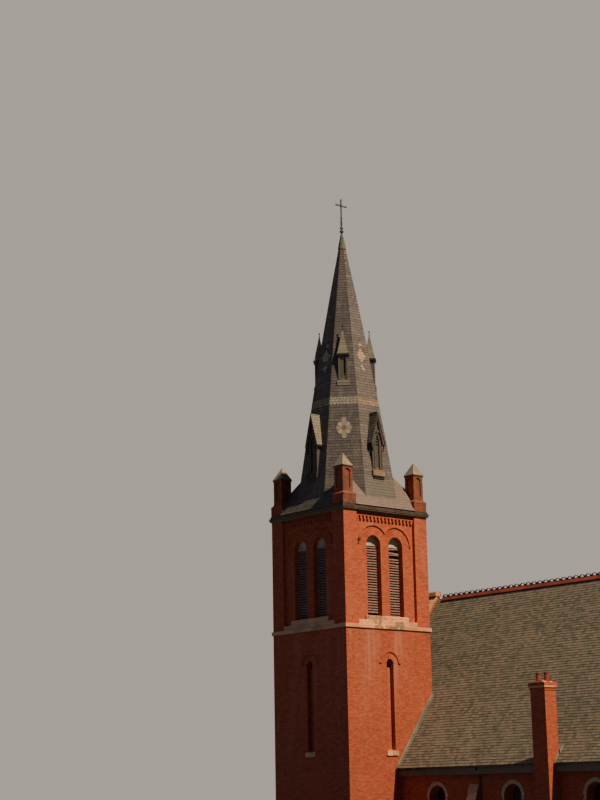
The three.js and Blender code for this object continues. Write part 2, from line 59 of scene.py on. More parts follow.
def local(node):
    return [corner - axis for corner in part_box(node)]


def facing(turns, x=0.0, y=0.0):  # takes something made facing south to another side, or to a spot
    return towerPlace @ Matrix.Translation((x, y, 0)) @ Matrix.Rotation(turns * math.pi / 2, 4, "Z")


print("camera and light")

view = {
    "position": (71.089, -62.639, 3.627),  # from the tower's axis
    "yaw": 50.21,
    "pitch": 13.245,
    "roll": -1.039,
    "lens": 75.9,
    "sensor": 36,
}


def makeCamera():
    yaw, pitch, roll = (math.radians(view[k]) for k in ("yaw", "pitch", "roll"))
    look = Vector((-math.sin(yaw) * math.cos(pitch), math.cos(yaw) * math.cos(pitch), math.sin(pitch)))
    right = look.cross(Vector((0, 0, 1))).normalized()
    up = right.cross(look)
    rolledRight = math.cos(roll) * right + math.sin(roll) * up
    rolledUp = -math.sin(roll) * right + math.cos(roll) * up
    data = bpy.data.cameras.new("camera")
    data.lens = view["lens"]
    data.sensor_fit = "VERTICAL"
    data.sensor_height = view["sensor"]
    data.clip_end = 1000
    camera = bpy.data.objects.new("camera", data)
    turn = Matrix((rolledRight, rolledUp, -look)).transposed().to_4x4()
    camera.matrix_world = towerPlace @ Matrix.Translation(view["position"]) @ turn
    scene.collection.objects.link(camera)
    scene.camera = camera


makeCamera()

light = {
    "bearing": 9.6,  # degrees round from due east towards north
    "height": 50.5,
    "strength": 6.7,
    "softness": 2.5,
    "colour": (1.0, 0.80, 0.60),
    "fill": (0.84, 0.96, 1.40),
    "fillStrength": 0.106,
    "backdrop": (0.46, 0.41, 0.36),
    "floor": (0.55, 0.53, 0.50),
}


def makeLight():
    bearing, height = math.radians(light["bearing"]), math.radians(light["height"])
    flat = math.cos(height)
    towards = Vector((math.cos(bearing) * flat, math.sin(bearing) * flat, math.sin(height)))
    data = bpy.data.lights.new("sun", "SUN")
    data.energy = light["strength"]
    data.angle = math.radians(light["softness"])
    data.color = light["colour"]
    sun = bpy.data.objects.new("sun", data)
    sun.rotation_euler = towards.to_track_quat("Z", "Y").to_euler()
    scene.collection.objects.link(sun)
    world = bpy.data.worlds.new("studio")
    world.use_nodes = True
    tree = world.node_tree
    tree.nodes.clear()
    mixed = tree.nodes.new("ShaderNodeMixShader")
    for slot, colour, strength in ((1, light["fill"], light["fillStrength"]), (2, light["backdrop"], 1.0)):
        ground = tree.nodes.new("ShaderNodeBackground")
        ground.inputs["Color"].default_value = (*colour, 1)
        ground.inputs["Strength"].default_value = strength
        tree.links.new(ground.outputs[0], mixed.inputs[slot])
    path = tree.nodes.new("ShaderNodeLightPath")
    out = tree.nodes.new("ShaderNodeOutputWorld")
    tree.links.new(path.outputs["Is Camera Ray"], mixed.inputs[0])
    tree.links.new(mixed.outputs[0], out.inputs[0])
    scene.world = world


makeLight()

print("finishes")

finishes = {}  # each one by its name


class Wire:
    # an output of a node, so that sums on values can be written as plain expressions
    def __init__(self, finish, socket):
        self.finish = finish
        self.socket = socket

    def maths(self, operation, *values):
        return self.finish.node("ShaderNodeMath", {"operation": operation}, dict(enumerate(values)))

    def __add__(self, other):
        return self.maths("ADD", self, other)

    def __sub__(self, other):
        return self.maths("SUBTRACT", self, other)

    def __rsub__(self, other):
        return self.maths("SUBTRACT", other, self)

    def __mul__(self, other):
        return self.maths("MULTIPLY", self, other)

    def __truediv__(self, other):
        return self.maths("DIVIDE", self, other)

    def __mod__(self, other):
        return self.maths("FLOORED_MODULO", self, other)

    def __gt__(self, other):
        return self.maths("GREATER_THAN", self, other)

    def __lt__(self, other):
        return self.maths("LESS_THAN", self, other)

    def __abs__(self):
        return self.maths("ABSOLUTE", self)

    __radd__ = __add__
    __rmul__ = __mul__

    def floor(self):
        return self.maths("FLOOR", self)

    def least(self, other):
        return self.maths("MINIMUM", self, other)

    def most(self, other):
        return self.maths("MAXIMUM", self, other)

    def between(self, low, high):  # 0 at low, 1 at high and smooth between them
        inputs = {"Value": self, "From Min": low, "From Max": high}
        return self.finish.node("ShaderNodeMapRange", {"interpolation_type": "SMOOTHSTEP"}, inputs)


def paint(red, green, blue):  # a colour given as it looks on a screen, from 0 to 255
    def straight(value):
        value = value / 255
        return value / 12.92 if value < 0.04045 else ((value + 0.055) / 1.055) ** 2.4

    return tuple(straight(value) for value in (red, green, blue))


def painted(stops):
    return [(at, paint(*colour)) for at, colour in stops]


def shades(colours):  # the same step from each colour to the next
    return painted((i / (len(colours) - 1), colour) for i, colour in enumerate(colours))


class Finish:
    def __init__(self, name, **constants):
        finishes[name] = self
        self.material = bpy.data.materials.new(name)
        self.material.use_nodes = True
        self.tree = self.material.node_tree
        self.tree.nodes.clear()
        self.surface = self.tree.nodes.new("ShaderNodeBsdfPrincipled")
        out = self.tree.nodes.new("ShaderNodeOutputMaterial")
        self.tree.links.new(self.surface.outputs[0], out.inputs[0])
        for socket, value in constants.items():
            self.surface.inputs[socket.replace("_", " ")].default_value = value
        self.place = self.node("ShaderNodeTexCoord", output="Object")
        self.x, self.y, self.z = self.parts(self.place)

    def node(self, kind, settings=None, inputs=None, output=0):
        made = self.tree.nodes.new(kind)
        for key, value in (settings or {}).items():
            if key == "stops":
                elements = made.color_ramp.elements
                elements[0].position, elements[1].position = value[0][0], value[-1][0]
                for at, _ in value[1:-1]:
                    elements.new(at)
                for element, (_, colour) in zip(elements, value):
                    element.color = (*colour, 1)
            else:
                setattr(made, key, value)
        for key, value in (inputs or {}).items():
            if isinstance(value, Wire):
                self.tree.links.new(value.socket, made.inputs[key])
            elif isinstance(value, tuple) and len(made.inputs[key].default_value) == 4:
                made.inputs[key].default_value = (*value, 1)
            else:
                made.inputs[key].default_value = value
        return Wire(self, made.outputs[output])

    def parts(self, vector):
        made = self.node("ShaderNodeSeparateXYZ", inputs={0: vector}).socket.node
        return [Wire(self, socket) for socket in made.outputs]

    def normal(self):
        return self.parts(self.node("ShaderNodeNewGeometry", output="True Normal"))

    def facesSouth(self):
        return (0 - self.normal()[1]).between(0.3, 0.7)

    def onWall(self):  # how far along its wall a point is, and 1 where that wall faces east or west
        nx, ny, _ = self.normal()
        facesEast = abs(nx) > abs(ny)
        return facesEast * self.y + (1 - facesEast) * self.x, facesEast

    def noise(self, scale, detail=3, rough=0.55, stretch=None):
        at = self.place
        if stretch:
            at = self.node("ShaderNodeVectorMath", {"operation": "MULTIPLY"}, {0: at, 1: stretch})
        inputs = {"Vector": at, "Scale": scale, "Detail": detail, "Roughness": rough}
        return self.node("ShaderNodeTexNoise", inputs=inputs)

    def throw(self, x, y, z):  # one random number for each cell
        return self.node("ShaderNodeTexWhiteNoise", inputs={"Vector": self.point(x, y, z)})

    def point(self, x, y, z):
        return self.node("ShaderNodeCombineXYZ", inputs={0: x, 1: y, 2: z})

    def tone(self):  # the random number that each block, slate or board was given
        return self.node("ShaderNodeAttribute", {"attribute_name": "tone"}, output="Fac")

    def mix(self, first, second, share):  # plain colours are given as they look on a screen
        first, second = (paint(*c) if isinstance(c, tuple) else c for c in (first, second))
        settings = {"data_type": "RGBA", "clamp_factor": True}
        return self.node("ShaderNodeMix", settings, {0: share, 6: first, 7: second}, output=2)

    def shade(self, colour, value):  # a colour made lighter or darker by a value
        grey = self.point(value, value, value)
        settings = {"data_type": "RGBA", "blend_type": "MULTIPLY"}
        return self.node("ShaderNodeMix", settings, {0: 1.0, 6: colour, 7: grey}, output=2)

    def ramp(self, value, stops):
        return self.node("ShaderNodeValToRGB", {"stops": stops}, {0: value})

    def wear(self, colour, rough=None, height=None, depth=0.004, strength=0.6, metal=None):
        for socket, value in (("Base Color", colour), ("Roughness", rough), ("Metallic", metal)):
            if value is not None:
                self.tree.links.new(value.socket, self.surface.inputs[socket])
        if height is not None:
            inputs = {"Height": height, "Distance": depth, "Strength": strength}
            bump = self.node("ShaderNodeBump", inputs=inputs)
            self.tree.links.new(bump.socket, self.surface.inputs["Normal"])


brickwork = {
    "length": 0.225,
    "course": 0.075,
    "joint": 0.005,
    "headersEvery": 6,
    "colours": [(0, (150, 68, 42)), (0.3, (164, 77, 46)), (0.7, (174, 84, 50)), (1, (184, 94, 58))],
    "odd": (120, 56, 40),
    "mortar": (150, 84, 58),
    "lime": (200, 140, 110),
    "soot": (84, 38, 28),
    "smoke": (58, 58, 46),
}


def brickFinish(name, bedded=True, smoked=0.0):
    f = Finish(name, Roughness=0.88, Specular_IOR_Level=0.25)
    b = brickwork
    along, facesEast = f.onWall()
    row = (f.z / b["course"]).floor()
    header = (row % b["headersEvery"]) < 0.5
    length = b["length"] * (1 - header * 0.5)
    column = along / length + (row % 2) * 0.5
    inRow = (column - column.floor()) * length
    inCourse = f.z - row * b["course"]
    edge = inRow.least(length - inRow).least(inCourse.least(b["course"] - inCourse))
    edge = edge + (f.noise(30, 2) - 0.5) * 0.003
    face = edge.between(b["joint"] * 0.6, b["joint"] * 1.5)
    pick = f.throw(column.floor(), row, facesEast)
    second = f.throw(row + 0.5, column.floor() + 7.3, facesEast)
    colour = f.ramp(pick, painted(b["colours"]))
    colour = f.mix(colour, b["odd"], (second > 0.985) * 0.55)
    colour = f.shade(colour, 0.86 + f.noise(0.35) * 0.28)
    fine = f.noise(55, 4, 0.7)
    colour = f.shade(colour, 0.92 + fine * 0.16)
    if bedded:
        colour = f.mix(b["mortar"], colour, face)
    # lime runs below the string course and on the east side, soot high up and near the ground
    streaks = f.noise(1.0, 2, 0.5, stretch=(1.7, 1.7, 0.14))
    under = (12.45 - f.z).between(7.0, 0.0) * (f.z < 12.45)
    runs = streaks.between(0.48, 0.78) * (0.09 + under * 0.42) * (0.4 + facesEast * 0.6)
    colour = f.mix(colour, b["lime"], runs)
    bloom = f.noise(0.9, 3, 0.5, stretch=(1.1, 1.1, 0.3))
    colour = f.mix(colour, b["lime"], bloom.between(0.52, 0.78) * 0.2)
    # painted shade: the sunlit east walls are made darker below the string course
    colour = f.shade(colour, 1 - (12.6 - f.z).between(0.0, 0.3) * facesEast * 0.13)
    high = f.z.between(17.9, 19.0)
    colour = f.mix(colour, b["soot"], (streaks * high).between(0.3, 0.62) * 0.25)
    low = (9.5 - f.z).between(0.0, 6.0)
    colour = f.mix(colour, b["soot"], low * (0.10 + bloom.between(0.35, 0.65) * 0.16))
    colour = f.mix(colour, b["soot"], (1.6 - f.z).between(0.0, 1.6) * bloom * 0.6)
    if smoked:
        clouded = f.noise(2.6, 4, 0.65).between(0.3, 0.7)
        colour = f.mix(colour, b["smoke"], (0.45 + clouded * 0.55) * (0.35 + facesEast * 0.65) * smoked)
    height = face * 0.7 + fine * 0.2 + pick * 0.05
    f.wear(colour, 0.82 + fine * 0.14, height, 0.004, 0.5)


def stoneFinish(name, pale, warm, grey, depth=0.004, south=None, runoff=False):
    f = Finish(name, Roughness=0.85, Specular_IOR_Level=0.3)
    tone = f.tone()
    colour = f.mix(warm, pale, tone)
    blotch = f.noise(4.5, 5, 0.65)
    clouds = f.noise(1.1, 3, 0.6)
    greyed = (tone * 7.3 % 1).between(0.62, 0.70)
    colour = f.mix(colour, grey, greyed * (0.3 + blotch.between(0.38, 0.6) * 0.6))
    colour = f.mix(colour, grey, blotch.between(0.54, 0.66) * 0.5)
    colour = f.mix(colour, grey, clouds.between(0.5, 0.6) * 0.4)
    if runoff:  # grey growth below each belfry opening
        def near(value):
            return abs(abs(value) - 0.8).between(0.46, 0.2)

        wet = near(f.y - axis.y).most(near(f.x - axis.x)) * (12.92 - f.z).between(0.0, 0.06)
        colour = f.mix(colour, (96, 88, 66), wet * f.noise(7, 4, 0.7).between(0.40, 0.54) * 0.9)
    grain = f.noise(70, 3, 0.7)
    colour = f.shade(colour, 0.86 + grain * 0.22 + clouds * 0.08)
    pits = f.noise(26, 4, 0.75).between(0.56, 0.7)
    colour = f.shade(colour, 1 - pits * 0.32)
    drips = f.noise(1.0, 3, 0.6, stretch=(7, 7, 0.9))
    colour = f.mix(colour, grey, drips.between(0.55, 0.75) * 0.3)
    # painted light: south-facing faces take a warmer south colour, standing in for the light in their shade
    if south:
        colour = f.mix(colour, south, f.facesSouth() * 0.6)
    f.wear(colour, 0.78 + grain * 0.18, grain * 0.4 + blotch - pits * 0.5, depth, 0.7)


def slateFinish(name, *colours, sheen=0.52, moss=(112, 110, 84), lines=0.38):
    f = Finish(name, Specular_IOR_Level=0.35)
    tone = f.tone()
    across, up, _ = f.parts(f.node("ShaderNodeAttribute", {"attribute_name": "spot"}, output="Vector"))
    colour = f.ramp(tone, shades(colours))
    colour = f.shade(colour, 0.80 + f.noise(0.5, 4, 0.6) * 0.4)
    lichen = f.noise(9, 5, 0.75).between(0.60, 0.78)
    colour = f.mix(colour, moss, lichen * 0.30)
    runs = f.noise(1.0, 3, 0.6, stretch=(4, 4, 0.25))
    colour = f.mix(colour, moss, runs.between(0.5, 0.72) * 0.45)
    courseShade = up.between(0.56, 0.75)  # painted shade: darker where the next course lies over it
    side = 1 - across.least(1 - across).between(0.02, 0.12)
    # lines sets how strong this painted shade and the dark side joints are
    colour = f.shade(colour, (1 - courseShade * lines) * (1 - side * lines * 0.85))
    riven = f.noise(16, 4, 0.6, stretch=(1, 1, 0.4))
    f.wear(colour, sheen + riven * 0.22, riven + lichen * 0.3, 0.004, 0.4)


def metalFinish(name, fresh, aged, dark, metal=0.35, rough=0.5, south=None):
    f = Finish(name, Specular_IOR_Level=0.5)
    clouds = f.noise(1.8, 5, 0.65)
    runs = f.noise(1.0, 4, 0.6, stretch=(8, 8, 0.7))
    colour = f.mix(aged, fresh, clouds.between(0.42, 0.62))
    # painted shade or painted sky reflection: south-facing faces take the south colour
    if south:
        colour = f.mix(colour, south, f.facesSouth() * 0.75)
    colour = f.mix(colour, dark, runs.between(0.54, 0.72) * 0.55)
    spots = f.noise(22, 3, 0.7).between(0.6, 0.75)
    colour = f.mix(colour, dark, spots * 0.3)
    dents = f.noise(3.5)
    f.wear(colour, rough + clouds * 0.25, dents + spots * 0.2, 0.006, 0.35, metal + (0 - spots) * 0.25)


def woodFinish(name, bare, coated, dark, share=0.6):
    f = Finish(name, Specular_IOR_Level=0.35)
    tone = f.tone()
    grain = f.noise(3.0, 5, 0.7, stretch=(1.5, 1.5, 22))
    lengthways = f.noise(3.0, 5, 0.7, stretch=(4, 4, 30))
    colour = f.mix(bare, coated, f.noise(6, 4, 0.7).between(0.62 - share * 0.35, 0.72 - share * 0.2))
    colour = f.shade(colour, 0.78 + tone * 0.3 + grain * 0.14)
    colour = f.mix(colour, dark, lengthways.between(0.58, 0.75) * 0.5)
    f.wear(colour, 0.62 + grain * 0.25, grain + lengthways, 0.003, 0.5)


def ironFinish(name, bare=(42, 38, 36), rusty=(104, 62, 42)):
    f = Finish(name, Specular_IOR_Level=0.5)
    rust = f.noise(7, 5, 0.7)
    colour = f.mix(bare, rusty, rust.between(0.5, 0.66) * 0.8)
    f.wear(colour, 0.48 + rust * 0.35, f.noise(60, 3, 0.7), 0.001, 0.5, 0.85 - rust.between(0.48, 0.62) * 0.6)


def terracottaFinish(name):
    f = Finish(name, Specular_IOR_Level=0.3)
    colour = f.mix((108, 48, 36), (134, 66, 48), f.tone())
    moss = f.noise(5, 5, 0.7)
    colour = f.mix(colour, (78, 66, 50), moss.between(0.55, 0.72) * 0.55)
    fine = f.noise(45, 3, 0.7)
    colour = f.shade(colour, 0.85 + fine * 0.3)
    f.wear(colour, 0.72 + fine * 0.2, fine + moss, 0.003, 0.5)


def cellEdge(p, q):  # how far a point is from the edge of its cell, in a grid of p by q
    inP, inQ = p - p.floor(), q - q.floor()
    return inP.least(1 - inP).least(inQ.least(1 - inQ))


def glassFinish(name):  # small leaded panes, each set a little out of true
    f = Finish(name, Specular_IOR_Level=0.6)
    along, facesEast = f.onWall()
    p = (along + f.z) / 0.15
    q = (along - f.z) / 0.15
    lead = 1 - cellEdge(p, q).between(0.03, 0.07)
    pick = f.throw(p.floor(), q.floor(), facesEast)
    stops = painted([(0, (24, 30, 34)), (0.55, (40, 50, 50)), (0.85, (54, 58, 48)), (1, (72, 56, 44))])
    colour = f.mix(f.ramp(pick, stops), (70, 70, 70), lead)
    grime = f.noise(5, 4)
    colour = f.shade(colour, 0.75 + grime * 0.5)
    f.wear(colour, 0.10 + lead * 0.4 + grime * 0.12, lead * 1.5 + pick * 0.8, 0.004, 0.4)


def tileFinish(name):
    f = Finish(name, Specular_IOR_Level=0.4)
    p, q = f.x / 0.3, f.y / 0.3
    edge = cellEdge(p, q)
    pick = f.throw(p.floor(), q.floor(), f.z.floor())
    colour = f.mix((150, 132, 108), (176, 160, 134), pick)
    face = edge.between(0.012, 0.03)
    colour = f.mix((90, 82, 72), colour, face)
    wear = f.noise(3, 5, 0.6)
    f.wear(f.shade(colour, 0.8 + wear * 0.35), 0.45 + wear * 0.3, face + wear * 0.2, 0.003, 0.6)


brickFinish("brick")
brickFinish("cut_brick", bedded=False)
brickFinish("turret_brick", smoked=0.8)
brickFinish("turret_cut_brick", bedded=False, smoked=0.8)
# the stone's south colour is painted light for the shaded south faces
stoneFinish("stone", (242, 168, 116), (220, 141, 94), (112, 98, 75), south=(214, 178, 130), runoff=True)
stoneFinish("mortar", (150, 120, 96), (140, 110, 86), (104, 90, 76), depth=0.002)
stoneFinish("sill_stone", (158, 134, 104), (142, 116, 88), (116, 98, 76))
# slates, from their darkest shade to their lightest
slateFinish("slate", (76, 69, 66), (90, 82, 76), (98, 90, 82), (112, 103, 92))
# deep_slate is painted shade on the south face and the south side of the foot; it is also laid on the
# diagonal faces and in patches near the tip
slateFinish("deep_slate", (60, 56, 55), (73, 67, 64), (81, 75, 69), (94, 87, 78))
slateFinish("foot_slate", (102, 85, 76), (112, 94, 83), (124, 104, 90), lines=0.14)
slateFinish("panel_slate", (90, 83, 73), (96, 89, 77), (103, 95, 82), lines=0.1)
slateFinish("pale_slate", (116, 114, 99), (127, 120, 103), (140, 131, 112), sheen=0.55, lines=0.25)
slateFinish("rose_slate", (108, 88, 72), (134, 109, 86), (158, 132, 106), lines=0.25)
slateFinish("plum_slate", (82, 65, 60), (88, 72, 64), (94, 78, 70))
slateFinish("diamond_slate", (158, 126, 97), (169, 134, 103), (178, 143, 109), lines=0.12)
# blue_slate: the diamonds on the shaded south face, a copy coloured for their shade
slateFinish("blue_slate", (134, 125, 116), (144, 134, 124), (154, 142, 130), lines=0.2)
slateFinish("cream_slate", (107, 101, 84), (117, 109, 91), (125, 117, 97), lines=0.3)
slateFinish("upper_slate", (98, 98, 80), (112, 108, 87), (124, 120, 96), lines=0.35)
slateFinish("flower_slate", (120, 110, 92), (138, 128, 107), (154, 144, 120), lines=0)
roofShades = ((88, 86, 72), (104, 101, 83), (114, 107, 89), (126, 112, 93))
slateFinish("roof_slate", *roofShades, moss=(112, 112, 84), lines=0.24)
# metals: fresh, aged, in the runs and spots, and sometimes on the south side, where the colour is painted
# shade (zinc, gutter edge) or a painted sky reflection (patina)
metalFinish("patina", (142, 125, 93), (121, 111, 85), (80, 73, 56), south=(140, 142, 125))
metalFinish("tip_metal", (96, 96, 79), (84, 86, 71), (60, 60, 50))
metalFinish("lead", (134, 132, 112), (114, 114, 98), (80, 78, 68), 0.3, 0.55)
metalFinish("zinc", (70, 58, 44), (52, 42, 32), (34, 26, 20), 0.2, 0.6, (34, 28, 22))
metalFinish("gutter_edge", (98, 84, 62), (80, 68, 50), (50, 42, 32), 0.2, 0.6, (46, 40, 32))
metalFinish("louvre_head", (186, 172, 146), (166, 154, 130), (112, 106, 90), 0.1, 0.6)
ironFinish("iron")
ironFinish("grey_iron", (72, 71, 72), (82, 77, 75))
# woods: bare, with the last of the paint, and in the grain
woodFinish("grey_boards", (75, 76, 65), (86, 85, 72), (52, 48, 42))
# dark boards, and also painted shade: behind the louvres, at the back of the upper lucarne slots, under the
# lucarne sills and on the south lower sill
woodFinish("dark_boards_and_shade", (40, 34, 32), (50, 42, 38), (26, 22, 22))
woodFinish("brown_boards", (84, 75, 65), (95, 84, 73), (53, 45, 40))
woodFinish("green_boards", (71, 73, 56), (81, 81, 63), (49, 49, 40))
woodFinish("slot_boards", (62, 62, 57), (71, 71, 64), (45, 44, 42))
woodFinish("louvre_wood", (118, 87, 76), (140, 108, 95), (77, 53, 49))
# a copy of the louvre wood for the shaded sides, painted shade
woodFinish("shaded_side_louvre_wood", (128, 102, 92), (152, 126, 114), (84, 62, 58))
woodFinish("lucarne_wood", (79, 68, 59), (88, 76, 66), (53, 43, 37))
woodFinish("door_wood", (86, 54, 36), (70, 44, 32), (40, 26, 20), 0.3)
terracottaFinish("terracotta")
glassFinish("window_glass")
tileFinish("floor_tiles")

nodeFinishes = {
    "brick": ["tower_wall", "belfry_wall", "nave_wall", "front_gable", "rear_gable", "chimney"],
    "turret_brick": ["turret_"],
    "slate": ["spire"],
    "lucarne_wood": ["lower_lucarne"],
    "grey_boards": ["upper_lucarne"],
    "roof_slate": ["nave_roof"],
    "patina": ["turret_cap"],
    "tip_metal": ["spire_cap"],
    "zinc": ["cornice"],
    "window_glass": ["slit_glass", "glass_"],
    "floor_tiles": ["nave_floor"],
    "door_wood": ["front_doors"],
    "louvre_wood": ["louvre_"],
    "stone": ["string_course"],
    "terracotta": ["ridge_cresting"],
    "grey_iron": ["cross_finial"],
}


def dressNodes():  # the longest start that fits a node's name picks its finish
    picks = [(start, finish) for finish, starts in nodeFinishes.items() for start in starts]
    picks.sort(key=lambda pick: -len(pick[0]))
    for name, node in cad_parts.items():
        finish = next(finish for start, finish in picks if name.startswith(start))
        node.data.materials.clear()
        node.data.materials.append(finishes[finish].material)


dressNodes()


class Form:
    # the blocks of one piece, put together and then made into one object
    def __init__(self):
        self.points = []
        self.faces = []
        self.slots = []
        self.tones = []
        self.spots = []  # where a point lies on its slate: across it, up it
        self.place = towerPlace

    def loft(self, rings, slot=0, tone=None, spots=None):  # rings of points joined one to the next
        start, n, last = len(self.points), len(rings[0]), len(rings) - 1
        for ring in rings:
            self.points += [self.place @ Vector(p) for p in ring]
            self.spots += spots or [(0.5, 0.0)] * n
        faces = []
        for r in range(last):
            for i in range(n):
                j = (i + 1) % n
                faces.append([r * n + i, r * n + j, (r + 1) * n + j, (r + 1) * n + i])
        faces += [list(range(n)), [last * n + i for i in range(n)]]
        self.faces += [[start + i for i in face] for face in faces]
        self.slots += [slot] * len(faces)
        self.tones += [chance.random() if tone is None else tone] * len(faces)

    def block(self, x0, x1, y0, y1, z0, z1, slot=0, tone=None):
        (x0, x1), (y0, y1) = sorted((x0, x1)), sorted((y0, y1))
        plan = [(x0, y0), (x1, y0), (x1, y1), (x0, y1)]
        self.loft([[(x, y, z) for x, y in plan] for z in (z0, z1)], slot, tone)

    def slabY(self, outline, y0, y1, slot=0, tone=None):  # an outline across X and up Z, from y0 to y1
        self.loft([[(u, y, z) for u, z in outline] for y in (y0, y1)], slot, tone)

    def slabX(self, outline, x0, x1, slot=0, tone=None):  # an outline across Y and up Z, from x0 to x1
        self.loft([[(x, u, z) for u, z in outline] for x in (x0, x1)], slot, tone)

    def lathe(self, profile, flats, x=0, y=0, slot=0, tone=None, square=False):
        reach, start = (1 / math.cos(math.pi / flats), math.pi / flats) if square else (1, 0)
        angles = [start + 2 * math.pi * i / flats for i in range(flats)]
        rings = []
        for r, z in profile:
            rings.append([(x + reach * r * math.cos(a), y + reach * r * math.sin(a), z) for a in angles])
        self.loft(rings, slot, tone)

    def archBlocks(self, u, spring, inner, outer, y0, y1, count, start=0.0, end=math.pi, gap=0.008):
        step = (end - start) / count
        for i in range(count):
            a0, a1 = start + i * step, start + (i + 1) * step
            outline = []
            for r, a, way in ((inner, a0, 1), (outer, a0, 1), (outer, a1, -1), (inner, a1, -1)):
                a += way * (gap / 2) / r
                outline.append((u + r * math.cos(a), spring + r * math.sin(a)))
            self.slabY(outline, y0, y1)

    def archBand(self, u, spring, section, count, start=0.0, end=math.pi, slot=0, tone=0.5):
        # a section of (radius, y) points swept round an arch
        rings = []
        for i in range(count + 1):
            a = start + (end - start) * i / count
            rings.append([(u + r * math.cos(a), y, spring + r * math.sin(a)) for r, y in section])
        self.loft(rings, slot, tone)

    def make(self, name, finishNames, slotName, replaces=(), bevel=0.0, body="root"):
        mesh = bpy.data.meshes.new(name)
        mesh.from_pydata(self.points, [], self.faces)
        for finish in finishNames:
            mesh.materials.append(finishes[finish].material)
        mesh.polygons.foreach_set("material_index", self.slots)
        layer = mesh.attributes.new("tone", "FLOAT", "FACE")
        layer.data.foreach_set("value", self.tones)
        layer = mesh.attributes.new("spot", "FLOAT_VECTOR", "POINT")
        layer.data.foreach_set("vector", [value for across, up in self.spots for value in (across, up, 0.0)])
        work = bmesh.new()
        work.from_mesh(mesh)
        bmesh.ops.recalc_face_normals(work, faces=work.faces)
        work.to_mesh(mesh)
        work.free()
        piece = bpy.data.objects.new(name, mesh)
        scene.collection.objects.link(piece)
        if bevel:
            edge = piece.modifiers.new("worn_edges", "BEVEL")
            edge.width = bevel
            edge.segments = 2
            edge.limit_method = "ANGLE"
            edge.angle_limit = math.radians(35)
        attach(piece, body)
        if replaces:
            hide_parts(*replaces)


def moved(outline, u=0.0, z=0.0, way=1):  # an outline put at a spot, turned about where way is -1
    return [(u + way * p, z + q) for p, q in outline]


def arc(u, z, radius, count, start=0.0, end=math.pi):
    angles = [start + (end - start) * i / count for i in range(count + 1)]
    return [(u + radius * math.cos(a), z + radius * math.sin(a)) for a in angles]


def circle(radius, count, u=0.0, z=0.0):
    angles = [2 * math.pi * i / count for i in range(count)]
    return [(u + radius * math.cos(a), z + radius * math.sin(a)) for a in angles]


def layRoll(form, start, end, side, out, foot, head, lift, sink=0.0, taper=1.0):
    # a metal roll over an edge, given by its half width at the foot and head
    ring = []
    for across, rise in ((foot, -sink), (head, lift), (-head, lift), (-foot, -sink)):
        ring.append(side * across + out * rise)
    form.loft([[start + r for r in ring], [end + r * taper for r in ring]], 0, 0.5)


def overHip(start, end):  # the directions across a hip and out from it
    side = Vector((1, -1, 0)).normalized()
    out = side.cross((end - start).normalized()).normalized()
    return side, out if out.z > 0 else -out


def laySlate(form, low, high, a, b, normal, lift, thick, at, slot=0):
    # a slate from low up to high, and from a to b along the eaves
    rings = []
    for front, tail in ((lift, 0.003), (lift - thick, -0.004)):
        foot, head = low + normal * front, high + normal * tail
        rings.append([at(foot, a), at(foot, b), at(head, b), at(head, a)])
    form.loft(rings, slot, None, [(0.0, 0.0), (1.0, 0.0), (1.0, 1.0), (0.0, 1.0)])


corniceHigh = local("cornice")[1]
tower = {
    "half": (stringHigh.x - stringLow.x) / 2 - 0.07,
    "recess": 0.17,
    "pilaster": 0.95,
    "eaves": corniceHigh.z,
    "corniceHalf": corniceHigh.x,
}
wallFace = -tower["half"]
recessFace = wallFace + tower["recess"]
recessHalf = tower["half"] - tower["pilaster"]

print("spire slates")

spireHigh = local("spire")[1]
spireShape = {
    "slope": 0.17,
    "meeting": 36.146,
    "swell": 0.080,
    "fold": 20.832,
    "top": spireHigh.z,
    "eavesHalf": spireHigh.x,
    "footSlope": 1.51,  # of the low square roof that crosses the foot of the spire
    "footTop": 21.26,
    "footMeets": 19.76,  # here the square roof comes out of the octagon's faces over the walls
}
slating = {
    "course": 0.166,
    "width": 0.195,
    "gap": 0.004,
    "thickness": 0.008,
    "lift": 0.017,
    "lap": 1.3,
    "least": 0.02,  # no slate is cut narrower than this
    "hidden": 0.08,  # how far slates run on under a crossing roof
    "bandBottom": 25.165,
    "bandTop": 25.642,
    "tipBottom": 31.6,
    "reddish": (0.015, 0.08),  # the middle and half width of the reddish line up the tip
    "diamonds": ((28.93, 0.17, 0.2), (28.25, 0.34, 0.46), (27.53, 0.17, 0.2)),  # height and half sizes
}
slateKinds = ["slate", "foot_slate", "pale_slate", "rose_slate", "plum_slate"]
slateKinds += ["deep_slate", "panel_slate", "diamond_slate", "blue_slate"]
wavyFoot = ((0, 1), (0.12, 0.42), (0.32, 0.08), (0.5, 0), (0.68, 0.08), (0.88, 0.42), (1, 1))


def spireHalf(z):
    s = spireShape
    rise = min(max((z - s["fold"]) / (s["top"] - s["fold"]), 0), 1)
    return s["slope"] * (s["meeting"] - z) + s["swell"] * math.sin(math.pi * rise)


def footHalf(z):
    return spireShape["eavesHalf"] - (z - tower["eaves"]) / spireShape["footSlope"]


def eightFace(z):  # how far out a face of the octagon is, and how far it reaches to each side
    return spireHalf(z), spireHalf(z) * math.tan(math.pi / 8)


def footFace(z):  # the same for a face of the square roof
    return footHalf(z), footHalf(z)


